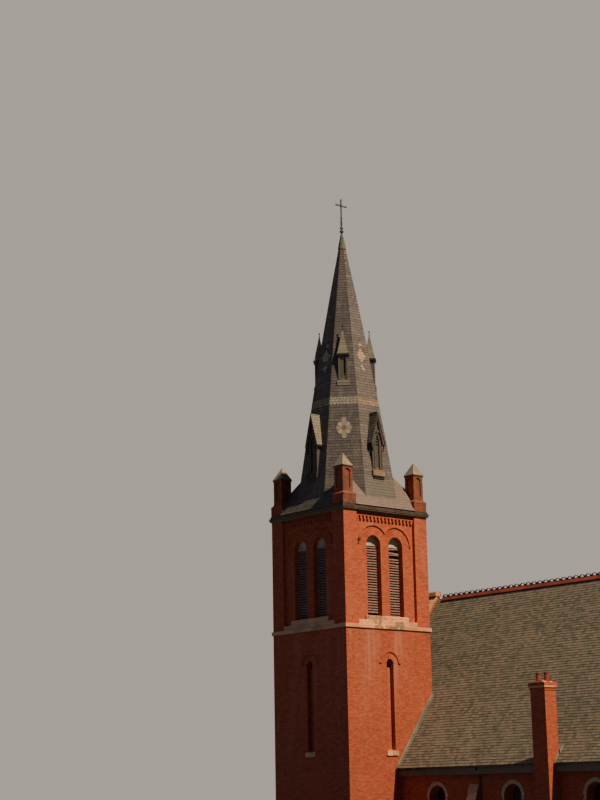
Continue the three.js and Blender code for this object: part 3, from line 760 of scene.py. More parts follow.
def layCourse(form, z0, z1, faceAt, number, kindAt, keep, rounded=False):
    s = slating
    top = z0 + (z1 - z0) * s["lap"]
    out0, reach0 = faceAt(z0)
    out1, reach1 = faceAt(top)
    if reach0 < 0.03:
        return
    u = -reach0 - s["width"] * (0.5 if number % 2 else 0.0) - chance.uniform(0, 0.03)
    shared = chance.random()  # a batch of slates of one shade to the course
    while u < reach0:
        width = s["width"] * chance.uniform(0.9, 1.1)
        left, right = u, u + width - s["gap"]
        u += width
        a0, b0 = max(left, -reach0), min(right, reach0)
        a1, b1 = max(left, -reach1), min(right, reach1)
        if b0 - a0 < s["least"]:
            continue
        b1 = max(b1, a1 + 0.004)
        if b1 > reach1 + 0.004:
            a1, b1 = reach1 - 0.004, reach1
        middle, height = (a0 + b0) / 2, (z0 + z1) / 2
        if not keep(middle, height, out0):
            continue
        lift = s["lift"] + chance.uniform(-0.002, 0.002)
        slot = slateKinds.index(kindAt(middle, height))
        low = z0 + chance.uniform(-0.003, 0.002)
        steps = wavyFoot if rounded else ((0, 0), (1, 0))
        foot = [(a0 + (b0 - a0) * t, low + (z1 - z0) * 0.62 * d) for t, d in steps]
        spots = [(t, 0.5 * d if rounded else 0.0) for t, d in steps] + [(1.0, 1.0), (0.0, 1.0)]
        slope = (out1 - out0) / (top - z0)
        rings = []
        for front, tail in ((lift, 0.002), (lift - s["thickness"], -0.004)):
            ring = [(p, -(out0 + slope * (z - z0) + front), z) for p, z in foot]
            rings.append(ring + [(p, -(out1 + tail), top) for p in (b1, a1)])
        tone = chance.random() * 0.55 + shared * 0.45
        form.loft(rings, slot, tone, spots)


# slates stop where the turrets stand, and their wider bases below
notch = {"half": abs(local("turret_south_west")[1].x) + 0.02, "base": 0.115, "baseTop": 19.87, "top": 21.3}


def besideTurret(direction, further):
    def keep(u, z, out):
        if not further(u, z, out):
            return False
        if z > notch["top"]:
            return True
        spot = direction @ Vector((u, -out, 0))
        limit = notch["half"] + (notch["base"] if z >= notch["baseTop"] else 0)
        return not (abs(spot.x) > limit and abs(spot.y) > limit)

    return keep


def onOctagon(diagonal):  # the parts of a face of the octagon that the square roof leaves free
    def keep(u, z, out):
        if z > spireShape["footTop"]:
            return True
        if diagonal:
            return abs(u) > math.sqrt(2) * footHalf(z) - out - slating["hidden"]
        return z > spireShape["footMeets"]

    return keep


def onFoot(u, z, out):  # the square roof up to the octagon
    return z < spireShape["footMeets"] or abs(u) > math.sqrt(2) * spireHalf(z) - out - slating["hidden"]


def spirePattern(k):  # the kind of slate at a spot on face k, with 0 for the south face
    def kindAt(u, z):
        s = slating
        if s["bandBottom"] - 0.01 < z < s["bandTop"] + 0.01:
            return "rose_slate" if k == 2 else "pale_slate"
        if k % 2:
            middle, half = s["reddish"]
            return "plum_slate" if z > s["tipBottom"] and abs(u - middle) < half else "deep_slate"
        if z > s["tipBottom"] and chance.random() < 0.5:
            return "deep_slate"
        # on the south face (k 0) deep_slate and blue_slate are painted shade
        if z < spireShape["fold"] + 0.03:
            return "panel_slate" if k else "deep_slate"
        for centre, wide, tall in s["diamonds"]:
            if abs(u) / wide + abs(z - centre) / tall < 1:
                return "diamond_slate" if k else "blue_slate"
        return "slate" if k else "deep_slate"

    return kindAt


def layFace(form, low, high, faceAt, pattern, keep, rounded=False):
    rows = max(1, round((high - low) / slating["course"]))
    for i in range(rows):
        z0 = low + (high - low) * i / rows
        z1 = min(low + (high - low) * (i + 1) / rows, spireShape["top"] - 0.06)
        layCourse(form, z0, z1, faceAt, i, pattern, keep, rounded)


def slateSpire():
    form = Form()
    eaves = tower["eaves"]
    zones = [  # whole courses in each
        (eaves + 0.1, slating["bandBottom"], False),
        (slating["bandBottom"], slating["bandTop"], True),
        (slating["bandTop"], spireShape["top"], False),
    ]
    for k in range(8):
        direction = Matrix.Rotation(k * math.pi / 4, 4, "Z")
        form.place = towerPlace @ direction
        for low, high, rounded in zones:
            keep = besideTurret(direction, onOctagon(k % 2))
            layFace(form, low, high, eightFace, spirePattern(k), keep, rounded)
        if k % 2 == 0:
            # painted shade: the south side of the foot takes deep_slate
            kind = "foot_slate" if k else "deep_slate"
            keep = besideTurret(direction, onFoot)
            layFace(form, eaves, spireShape["footTop"], footFace, lambda u, z: kind, keep)
    form.make("spire_slates", slateKinds, "slate")


slateSpire()


def hipRolls():  # lead rolls on the ridges of the four corner roofs
    form = Form()
    for k in range(4):
        form.place = facing(k)
        start, end = (Vector((-footHalf(z), -footHalf(z), z)) for z in (20.50, spireShape["footTop"] - 0.02))
        layRoll(form, start, end, *overHip(start, end), 0.045, 0.03, 0.03, 0.02)
    form.make("hip_rolls", ["lead"], "zinc")


hipRolls()

print("nave roofs")

southRoofLow, southRoofHigh = local("nave_roof_south")
frontLow, frontHigh = local("front_gable")
rearLow, rearHigh = local("rear_gable")
chimneyLow, chimneyHigh = local("chimney")
nave = {
    "ridgeY": 7.316,
    "ridge": southRoofHigh.z,
    "rise": 1.402,
    "south": 0.62,
    "eavesY": southRoofLow.y,
    "west": frontHigh.x,
    "east": rearLow.x,
    "outerEast": rearHigh.x,
    "outerWest": frontLow.x,
    "slateWidth": 0.245,
    "slateCourse": 0.172,
    "cap": 0.06,  # the chimney's cap stands this far over its sides
}
stackX = (chimneyLow.x + nave["cap"], chimneyHigh.x - nave["cap"])
stackY = (chimneyLow.y + nave["cap"], chimneyHigh.y - nave["cap"])


def roofTop(y):
    return nave["ridge"] - nave["rise"] * abs(y - nave["ridgeY"])


def mirrored(y):  # the same place on the north side of the nave
    return 2 * nave["ridgeY"] - y


roofLength = math.hypot(1, nave["rise"])  # slope length for each unit of plan
roofNormal = Vector((0, -nave["rise"], 1)).normalized()
roofUp = Vector((0, 1, nave["rise"])).normalized()


def slateNave(name, north):
    form = Form()
    if north:
        form.place = towerPlace @ Matrix.Translation((0, mirrored(0), 0)) @ Matrix.Scale(-1, 4, (0, 1, 0))
    total = (nave["ridgeY"] - nave["eavesY"]) * roofLength
    rows = round(total / nave["slateCourse"])
    step = total / rows
    foot = Vector((0, nave["eavesY"], roofTop(nave["eavesY"])))
    for i in range(rows):
        y = nave["eavesY"] + i * step / roofLength
        start = nave["west"] if north or y + 0.03 > tower["half"] else tower["half"]
        spans = [(start, nave["east"])]
        if not north and y < nave["south"]:
            spans = [(start, stackX[0]), (stackX[1], nave["east"])]
        for left, right in spans:
            x = left - (0.12 if i % 2 else 0.0)
            while x < right:
                width = nave["slateWidth"] * chance.uniform(0.92, 1.08)
                a, b = max(x, left), min(x + width - 0.005, right)
                x += width
                if b - a < 0.03:
                    continue
                lift = 0.019 + chance.uniform(-0.003, 0.004)
                sag = chance.uniform(-0.005, 0.004)
                low = foot + roofUp * (i * step + sag)
                high = foot + roofUp * min((i + 1.3) * step, total - 0.01)
                laySlate(form, low, high, a, b, roofNormal, lift, 0.009, lambda spot, x: (x, spot.y, spot.z))
    form.make(name, ["roof_slate"], "slate")


slateNave("nave_slates_south", False)
slateNave("nave_slates_north", True)

ridgeTiles = {
    "pitch": 0.437,
    "start": -0.06,
    "wing": 0.19,
    "thick": 0.022,
    "seat": 0.02,
    "loop": 0.18,
    "half": 0.028,
}


def crestRidge():
    form = Form()
    r = ridgeTiles
    ridgeY = nave["ridgeY"]
    count = int((nave["east"] - r["start"]) / r["pitch"])
    pitch = (nave["east"] - r["start"]) / count
    crown = [(c, 0.45 + 0.55 * s) for c, s in ((0.92, 0.4), (0.72, 0.7), (0.4, 0.92))]
    hoop = [(1, 0), (1, 0.45)] + crown + [(0, 1)]
    hoop += [(-c, s) for c, s in reversed(hoop[:-1])]
    for i in range(count):
        x0 = r["start"] + i * pitch
        x1 = x0 + pitch - 0.006
        z = nave["ridge"] + r["seat"]
        section = []
        for y in (-r["wing"], -0.03, 0.03, r["wing"]):
            section.append((ridgeY + y, z - nave["rise"] * max(abs(y) - 0.03, 0) + 0.075))
        under = [(y, h - r["thick"] * 1.7) for y, h in reversed(section)]
        form.slabX(section + under, x0, x1)
        base, middle, half, tall = z + 0.05, (x0 + x1) / 2, pitch * 0.4, r["loop"]
        outer = [(middle - half * c, base + tall * s) for c, s in hoop]
        centre = Vector((middle, base + tall * 0.5))
        inner = [tuple(Vector(spot) + (centre - Vector(spot)) * 0.34) for spot in outer]
        y0, y1 = ridgeY - r["half"], ridgeY + r["half"]
        outlineBand(form, outer, inner, y0, y1, tone=0.4)
        form.block(middle - half, middle + half, y0, y1, base - 0.02, base + 0.035, tone=0.4)
        for a, b in ((x0, middle - half + 0.01), (middle + half - 0.01, x1)):
            form.block(a, b, y0, y1, base - 0.02, base + tall * 0.62, tone=0.2)
    form.make("ridge_tiles", ["terracotta"], "terracotta", ["ridge_cresting"])


def outlineBand(form, inner, outer, y0, y1, slot=0, tone=None):  # a flat frame between two open outlines
    for a, b, d, c in zip(inner, inner[1:], outer[1:], outer):
        form.slabY([a, b, d, c], y0, y1, slot, tone)


crestRidge()

coping = {"thick": 0.09, "over": 0.05, "lift": 0.3, "stone": 0.72, "past": 0.33}


def copeGables():
    form = Form()
    c = coping
    for x0, x1, south in ((nave["outerWest"], nave["west"], False), (nave["east"], nave["outerEast"], True)):
        ends = [(mirrored(nave["south"]) + c["past"], 1)]
        ends.append((nave["south"] - c["past"] if south else tower["half"], -1))
        for foot, way in ends:
            run = abs(foot - nave["ridgeY"])
            stones = round(run * roofLength / c["stone"])
            for i in range(stones):
                y0 = nave["ridgeY"] + way * run * i / stones
                y1 = nave["ridgeY"] + way * (run * (i + 1) / stones - 0.004)
                rings = []
                for y in (y0, y1):
                    z = roofTop(y) + c["lift"]
                    rings.append([
                        (x0 - c["over"], y, z - 0.05),
                        (x0 - c["over"], y, z + c["thick"] * 0.5),
                        ((x0 + x1) / 2, y, z + c["thick"]),
                        (x1 + c["over"], y, z + c["thick"] * 0.5),
                        (x1 + c["over"], y, z - 0.05),
                    ])
                form.loft(rings)
            if foot != tower["half"]:
                kneeler = [(0.04, 0.08), (0.04, -0.42), (-0.3, -0.75), (-0.34, 0.1)]
                form.slabX(moved(kneeler, foot, roofTop(foot) + c["lift"], way), x0 - 0.06, x1 + 0.06)
        apex = [(-0.26, -0.12), (0.26, -0.12), (0.2, 0.12), (0, 0.22), (-0.2, 0.12)]
        form.slabX(moved(apex, nave["ridgeY"], nave["ridge"] + c["lift"]), x0 - 0.07, x1 + 0.07)
    form.make("gable_copings", ["stone"], "stone", bevel=0.012)


copeGables()

print("belfry")

opening = {
    "width": 1.04,
    "centre": 0.82,
    "sill": local("louvre_south_left")[0].z,
    "spring": 17.05,
    "depth": 0.45,
    "frame": 0.035,
    "slat": 0.13,
    "slatThick": 0.02,
    "nose": 0.052,  # the upright front edge of a slat
    "tilt": math.radians(40),
    "count": 27,
}
# by side, opening and place from the sill: how far a slat has dropped, and how much more at its right
slippedSlats = {
    ("east", 1, 26): (-0.02, 0.06),
    ("east", 1, 25): (-0.05, -0.05),
    ("east", 1, 24): (-0.03, 0.02),
    ("east", 1, 20): (0.0, -0.04),
}
missingSlats = [("east", 0, 0), ("east", 1, 23)]


def louvres(k):
    form = Form()
    form.place = facing(k)
    side = sides[k]
    o = opening
    sill, spring = o["sill"], o["spring"]
    front = wallFace + o["depth"]
    half = o["width"] / 2 - 0.004
    pitch = (spring - sill - 0.06) / o["count"]
    run, climb = o["slat"] * math.cos(o["tilt"]), o["slat"] * math.sin(o["tilt"])
    slat = [(0, 0), (0.012, -0.004), (run, climb), (run - 0.01, climb + o["slatThick"]), (0.004, o["nose"])]
    for index, u in enumerate((-o["centre"], o["centre"])):
        left, right = u - half, u + half
        for edge, inner in ((left, left + o["frame"]), (right, right - o["frame"])):
            form.block(edge, inner, front + 0.02, front + 0.12, sill, spring, 0, 0.2)
        form.block(left, right, front + 0.02, front + 0.12, sill, sill + 0.03, 0, 0.3)
        for i in range(o["count"]):
            if (side, index, i) in missingSlats:
                continue
            slip, twist = slippedSlats.get((side, index, i), (0.0, 0.0))
            base = sill + 0.04 + i * pitch + chance.uniform(-0.004, 0.004)
            ends = ((left + o["frame"], base + slip), (right - o["frame"], base + slip + twist))
            form.loft([[(x, y, h) for y, h in moved(slat, front, z)] for x, z in ends])
        # painted shade: a dark board behind the slats stands in for the dark inside of the belfry
        form.block(left, right, front + 0.135, front + 0.15, sill, spring + 0.1, 2, 0.3)
        form.slabY(arc(u, spring, half, 14, math.pi, 0.0), front + 0.02, front + 0.07, 1, 0.7)
        form.block(left, right, front - 0.01, front + 0.09, spring - 0.04, spring + 0.03, 1, 0.6)
        rim = [(half, front), (half, front + 0.03), (half - 0.05, front + 0.03), (half - 0.05, front)]
        form.archBand(u, spring, rim, 14, slot=1)
    # painted shade: the sides away from the sun take a shaded copy of the louvre wood
    wood = "louvre_wood" if side == "east" else "shaded_side_louvre_wood"
    nodes = [f"louvre_{side}_left", f"louvre_{side}_right"]
    form.make("louvres_" + side, [wood, "louvre_head", "dark_boards_and_shade"], "louvre_wood", nodes, bevel=0.003)


for k in range(4):
    louvres(k)

courses = {
    "bottom": stringLow.z,
    "top": 12.642,
    "project": 0.07,
    "depth": 0.9,
    "secondTop": 12.89,
    "sillHalf": 1.57,
    "sillProject": 0.13,
    "joint": 0.006,
}


def cutStones(form, low, high, pieces, y0, y1, z0, z1, weather=0.0):
    # a run of stones along X with thin joints, with a slope along the top edge of the face
    spots = [low]
    for i in range(1, pieces):
        spots.append(low + (high - low) * (i + chance.uniform(-0.18, 0.18)) / pieces)
    spots.append(high)
    for a, b in zip(spots, spots[1:]):
        face = y0 + chance.uniform(-0.004, 0.004)
        outline = [(face, z0), (y1, z0), (y1, z1), (y0 + weather * 1.2, z1), (face, z1 - weather)]
        form.slabX(outline, a + courses["joint"] / 2, b - courses["joint"] / 2)


def stringStones():
    form = Form()
    c = courses
    bottom, top, second, sill = c["bottom"], c["top"], c["secondTop"], opening["sill"]
    inner, outer = tower["half"] - c["depth"], tower["half"] + c["project"]
    end = outer - c["depth"]  # where the stone at the corner starts
    gap = c["joint"] / 2
    front = -c["sillProject"]
    section = [(front, second), (0, second), (0, sill + 0.02), (0, sill + 0.004)]
    section += [(front + 0.03, sill - 0.012), (front, sill - 0.05)]
    for k in range(4):
        form.place = facing(k)
        cutStones(form, -outer, end, 6, -outer, -inner, bottom, top, 0.03)
        form.block(end + gap, outer, -outer, -end - gap, bottom, top)
        form.block(-outer + 0.01, outer - 0.01, -outer + 0.012, -inner, bottom + 0.008, top - 0.035, 1)
        cutStones(form, -recessHalf, recessHalf, 6, wallFace - 0.004, recessFace + 0.05, top, second, 0.012)
        form.block(-recessHalf, recessHalf, wallFace + 0.012, recessFace, top - 0.01, second - 0.012, 1)
        for a, b in ((-c["sillHalf"], -0.16), (-0.16, 0.62), (0.62, c["sillHalf"])):
            form.slabX(moved(section, recessFace), a + gap, b - gap)
        reach = c["sillHalf"] - 0.01
        form.block(-reach, reach, recessFace + front + 0.015, recessFace, second, sill - 0.06, 1)
    form.make("belfry_stones", ["stone", "mortar"], "stone", ["string_course"], bevel=0.008)


stringStones()

slitShape = {"half": 0.245, "sill": 5.98, "spring": 10.6, "sillHalf": 0.414, "glassDepth": 0.42}
hood = {  # radius and depth of the mouldings over the arches
    "belfry": [(1.045, 0.01), (1.05, -0.024), (1.075, -0.028), (1.22, -0.002), (1.22, 0.01)],
    "belfryMeets": 1.09,
    "slit": [(0.595, 0.01), (0.615, -0.045), (0.68, -0.06), (0.686, -0.02), (0.686, 0.01)],
}


def stopsAt(u, radius):  # the two arches of a side stop against each other halfway between them
    centre = opening["centre"]
    meet = math.acos(centre / radius) if radius > centre else 0.0
    return (meet, math.pi) if u < 0 else (0.0, math.pi - meet)


def archBricks():
    form = Form()
    inside, spring = opening["width"] / 2, opening["spring"]
    for k in range(4):
        form.place = facing(k)
        for u in (-opening["centre"], opening["centre"]):
            for inner, outer, count in ((0, 0.215, 24), (0.224, 0.439, 34), (0.448, 0.525, 34)):
                inner, outer = inside + inner, inside + outer
                ends = stopsAt(u, outer)
                form.archBlocks(u, spring, inner, outer, recessFace - 0.004, recessFace + 0.02, count, *ends)
            section = [(r, recessFace + y) for r, y in hood["belfry"]]
            form.archBand(u, spring, section, 24, *stopsAt(u, hood["belfryMeets"]))
        # the row of dentils is closed at its top
        reach = recessHalf - 0.002
        form.block(-reach, reach, recessFace - 0.093, recessFace + 0.02, 18.575, 18.63)
        if k == 2:
            continue
        s = slitShape["spring"]
        for inner, outer, count in ((slitShape["half"], 0.46, 11), (0.469, 0.59, 20)):
            form.archBlocks(0, s, inner, outer, wallFace - 0.004, wallFace + 0.02, count)
        form.archBand(0, s, [(r, wallFace + y) for r, y in hood["slit"]], 18)
        for way in (-1, 1):
            form.block(way * 0.6, way * 0.774, wallFace - 0.062, wallFace + 0.01, s - 0.004, s + 0.084)
    form.make("arch_bricks", ["cut_brick"], "brick", bevel=0.003)


archBricks()


def slitDressings():
    form = Form()
    sill, half, reach = slitShape["sill"], slitShape["half"], slitShape["sillHalf"]
    stone = [(-0.066, -0.274), (0.03, -0.274), (0.03, 0.006), (-0.016, 0.005), (-0.066, -0.03)]
    ramp = [(0.02, 0.002), (0.25, 0.035), (0.25, 0), (0.02, 0)]
    front = wallFace + slitShape["glassDepth"]
    for k in (0, 1, 3):
        form.place = facing(k)
        for a, b in ((-reach, -0.04), (-0.034, reach)):
            form.slabX(moved(stone, wallFace, sill), a, b)
        form.slabX(moved(ramp, wallFace, sill), -half + 0.004, half - 0.004)
        glass = local("slit_glass_" + sides[k])[0].z
        form.block(-half, half, front - 0.03, front - 0.002, glass - 0.02, glass + 0.05, 1, 0.3)
        for z in (10.58, 10.72):
            form.block(-half + 0.03, half - 0.03, front - 0.025, front - 0.004, z, z + 0.02, 1, 0.3)
        form.block(-0.01, 0.01, front - 0.02, front - 0.004, glass, 10.83, 1, 0.3)
    form.make("slit_sills_and_bars", ["stone", "iron"], "stone", bevel=0.006)


slitDressings()


def tiePlates():
    form = Form()
    discs = ((0.1, -0.06, 0.002, 0), (0.06, -0.075, -0.058, 1), (0.022, -0.095, -0.07, 0))
    for k in (1, 3):
        form.place = facing(k)
        for radius, y0, y1, slot in discs:
            form.slabY(circle(radius, 16, -1.885, 17.26), recessFace + y0, recessFace + y1, slot, 0.3)
    form.make("tie_plates", ["iron", "gutter_edge"], "iron", bevel=0.003)


tiePlates()


def corniceTrim():
    form = Form()
    front, top = tower["corniceHalf"], tower["eaves"]
    low, high = top - 0.242, top - 0.112
    mouldings = [
        (0, low, [(-0.03, -0.004), (0.004, 0.016), (0.004, 0.034), (-0.03, 0.034)]),  # bottom edge
        (0, low, [(-0.1, -0.06), (-0.02, -0.056), (-0.012, -0.04), (-0.02, -0.024), (-0.1, -0.02)]),
        (0, low, [(-0.02, 0.06), (0.006, 0.06), (0.006, 0.078), (-0.02, 0.078)]),  # bead
        (0, high, [(-0.02, -0.022), (0.012, -0.022), (0.016, -0.008), (0.012, 0.006), (-0.02, 0.01)]),
        (1, high, [(-0.08, 0.014), (-0.052, 0.02), (-0.052, 0.118), (-0.08, 0.118)]),  # under the slates
        (1, low, [(-0.1, -0.096), (-0.088, -0.096), (-0.074, -0.05), (-0.1, -0.04)]),
    ]
    for k in range(4):
        form.place = facing(k)
        for slot, base, outline in mouldings:
            spots = moved(outline, front, base)
            form.loft([[(way * y, -y, z) for y, z in spots] for way in (-1, 1)], slot, 0.5)
    form.make("gutter_edges", ["gutter_edge", "zinc"], "zinc", bevel=0.002)


corniceTrim()

print("turrets")

capLow, capHigh = local("turret_cap_south_west")
turret = {
    "axis": 2.65,
    "shaft": 0.355,
    "head": 0.368,
    "base": 0.47,
    "panelHalf": 0.185,
    "panelSpring": 20.935,
    "eaves": capLow.z,
    "capHalf": 0.39,
    "top": capHigh.z,
}


def turretTrim():
    bricks, metal = Form(), Form()
    t = turret
    eaves, half, low = t["eaves"], t["capHalf"], t["eaves"] + 0.045
    bands = ((t["head"], 0.004, eaves - 0.06, eaves - 0.004), (t["base"], 0.008, 19.625, 19.7))
    lip = moved([(-0.006, -0.05), (-0.006, 0.006), (0.03, 0.03), (0.03, -0.05)], -half, low)
    start, peak = Vector((-half, -half, low)), Vector((0, 0, t["top"]))
    end = start + (peak - start).normalized() * (peak - start).length * 0.97
    for k in range(4):
        centre = facing(k) @ Matrix.Translation((-t["axis"], -t["axis"], 0))
        for turn in range(4):
            bricks.place = metal.place = centre @ Matrix.Rotation(turn * math.pi / 2, 4, "Z")
            inner, y = t["panelHalf"], -t["shaft"]
            bricks.archBlocks(0, t["panelSpring"], inner, inner + 0.1, y - 0.005, y + 0.01, 11)
            for reach, proud, z0, z1 in bands:
                bricks.block(-reach - proud, reach + proud, -reach - proud, -reach + 0.03, z0, z1, 1)
            metal.slabX(lip, -half - 0.006, half + 0.006, 1, 0.5)
            layRoll(metal, start, end, *overHip(start, peak), 0.014, 0.009, 0.016, taper=0.5)
    bricks.make("turret_bricks", ["turret_cut_brick", "turret_brick"], "brick", bevel=0.003)
    metal.make("turret_cap_rolls", ["patina", "zinc"], "patina", bevel=0.002)


turretTrim()

print("lucarnes")

lower = {
    "front": 2.56,
    "back": 2.4,
    "sillBottom": 20.9,
    "sillTop": 21.337,
    "sillHalf": 0.43,
    "sillFront": 2.69,
    "eaves": 22.81,
    "eavesHalf": 0.51,
    "apex": local("lower_lucarne_south")[1].z,
    "overhang": 0.11,
    "slotHalf": 0.165,
    "slotSpring": 23.16,
    "slateCourse": 0.17,
    "slateWidth": 0.2,
    "eastSlopes": ((0, 1), (2, -1)),  # side and direction of the slopes that face east, whose paler slates are painted light
}


def pointedHead(half, bottom, spring, rise):  # the outline of a pointed slot
    left = [(-half, bottom), (-half, spring)]
    for t in (0.35, 0.65, 0.88):
        left.append((-half * (1 - t) ** 0.75, spring + rise * t))
    return left + [(0, spring + rise)] + [(-u, z) for u, z in reversed(left)]


def lowerLucarnes():
    frames, slates, sills = Form(), Form(), Form()
    l = lower
    face, eaves, apex, spring = -l["front"], l["eaves"], l["apex"], l["slotSpring"]
    verge = face - l["overhang"] - 0.01
    slot = pointedHead(l["slotHalf"] - 0.02, l["sillTop"], spring - 0.1, 0.34)
    wide = pointedHead(l["slotHalf"] + 0.07, l["sillTop"], spring - 0.1, 0.46)
    brace = [(0.385, -0.42), (0.385, -0.34), (0.5, -0.02), (0.44, -0.02)]
    gable = [(0.515, eaves - 0.03), (0.515, eaves + 0.09), (0, apex + 0.012), (0, apex - 0.3)]
    strut = [(0.02, spring + 0.36), (0.09, spring + 0.36), (0.27, eaves + 0.9), (0.21, eaves + 0.94)]
    board = [(0, 0), (0.06, 0.09), (0.07, 0.075), (0.01, -0.015)]
    foot = Vector((l["eavesHalf"], 0, eaves + 0.07))
    rise = (apex - foot.z) / l["eavesHalf"]
    normal, up = Vector((rise, 0, 1)).normalized(), Vector((-1, 0, rise)).normalized()
    length = math.hypot(l["eavesHalf"], apex - foot.z)
    rows = round(length / l["slateCourse"])
    front, bottom, top, reach = -l["sillFront"], l["sillBottom"], l["sillTop"], l["sillHalf"]
    sill = [(-l["back"], bottom - 0.01), (face + 0.06, bottom - 0.01), (front - 0.008, bottom + 0.10)]
    sill += [(front - 0.008, top - 0.06), (face - 0.03, top + 0.008), (-l["back"], top + 0.008)]
    for k in range(4):
        frames.place = slates.place = sills.place = facing(k)
        outlineBand(frames, slot, wide, face - 0.035, face + 0.02, 0, 0.6)
        frames.slabY(slot, face + 0.05, face + 0.085, 2, 0.5)
        for way in (-1, 1):
            frames.block(way * 0.30, way * 0.384, face - 0.03, face + 0.03, top, eaves + 0.05, 0, 0.5)
            frames.slabY(moved(brace, 0, eaves, way), face - 0.1, face - 0.03, 1, 0.5)
            frames.slabY(moved(gable, way=way), verge - 0.015, verge + 0.03, 1, 0.75)
            frames.slabY(moved(strut, way=way), face - 0.07, face + 0.01, 0, 0.5)
            back = -spireHalf(eaves) + 0.03  # the eaves board along each side ends on the spire
            frames.block(way * 0.49, way * 0.518, verge, back, eaves - 0.03, eaves + 0.075, 1, 0.5)
        frames.block(-0.28, 0.28, face - 0.06, face + 0.01, spring + 0.30, spring + 0.37, 1, 0.5)
        for i in range(4):  # tilted boards in the upper part of the slot
            half = l["slotHalf"] - 0.02
            frames.slabX(moved(board, face, top + 1.5 + i * 0.165), -half, half, 1)
        for way in (-1, 1):
            # painted light: slopes that face east take paler cream slates, the others darker slate
            kind = 0 if (k, way) in l["eastSlopes"] else 2
            for i in range(rows):
                low = foot + up * (i * length / rows)
                high = foot + up * min((i + 1.25) * length / rows, length - 0.01)
                back = -spireHalf(low.z) + 0.02
                y = verge - (l["slateWidth"] / 2 if i % 2 else 0)
                while y < back:
                    a, b = max(y, verge), min(y + l["slateWidth"] - 0.005, back)
                    y += l["slateWidth"]
                    if b - a >= 0.03:
                        at = lambda spot, y: (way * spot.x, y, spot.z)
                        laySlate(slates, low, high, a, b, normal, 0.016, 0.008, at, kind)
        y0, y1 = verge - 0.01, -spireHalf(apex) + 0.05
        ridge = [(y0, apex - 0.04), (y1, apex - 0.04), (y1, apex + 0.02), (y0, apex + 0.02)]
        slates.slabX(ridge, -0.035, 0.035, 1, 0.5)
        kind = 0 if k else 1  # painted shade: the south sill is dark
        sills.slabX(sill, -reach - 0.008, reach + 0.008, kind, 0.6)
        for z in (0.13, 0.24, 0.34):
            z0, z1 = bottom + z, bottom + z + 0.04
            sills.block(-reach - 0.016, reach + 0.016, front - 0.016, front + 0.05, z0, z1, kind, 0.8)
        # painted shadow: a dark slab under the sill
        sills.block(-reach + 0.02, reach - 0.02, front + 0.03, -l["back"], bottom - 0.07, bottom, 1, 0.4)
    frames.make("lucarne_frames", ["lucarne_wood", "dark_boards_and_shade", "slot_boards"], "louvre_wood", bevel=0.004)
    slates.make("lucarne_slates", ["cream_slate", "lead", "slate"], "slate")
    sills.make("lucarne_sills", ["sill_stone", "dark_boards_and_shade"], "stone", bevel=0.008)


lowerLucarnes()

upper = {
    "axis": 1.455,
    "half": 0.26,
    "back": 1.15,
    "sillBottom": 26.225,
    "sillTop": 26.6,
    "sillHalf": 0.35,
    "sillFront": 1.79,
    "soffit": 28.06,
    "eaves": 28.22,
    "eavesHalf": 0.362,
    "roofHalf": 0.312,
    "apex": 29.7,
    "top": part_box("upper_lucarne_south_east")[1].z,
    "slotHalf": 0.15,
    "slotTop": 27.9,
    "rows": 9,
}


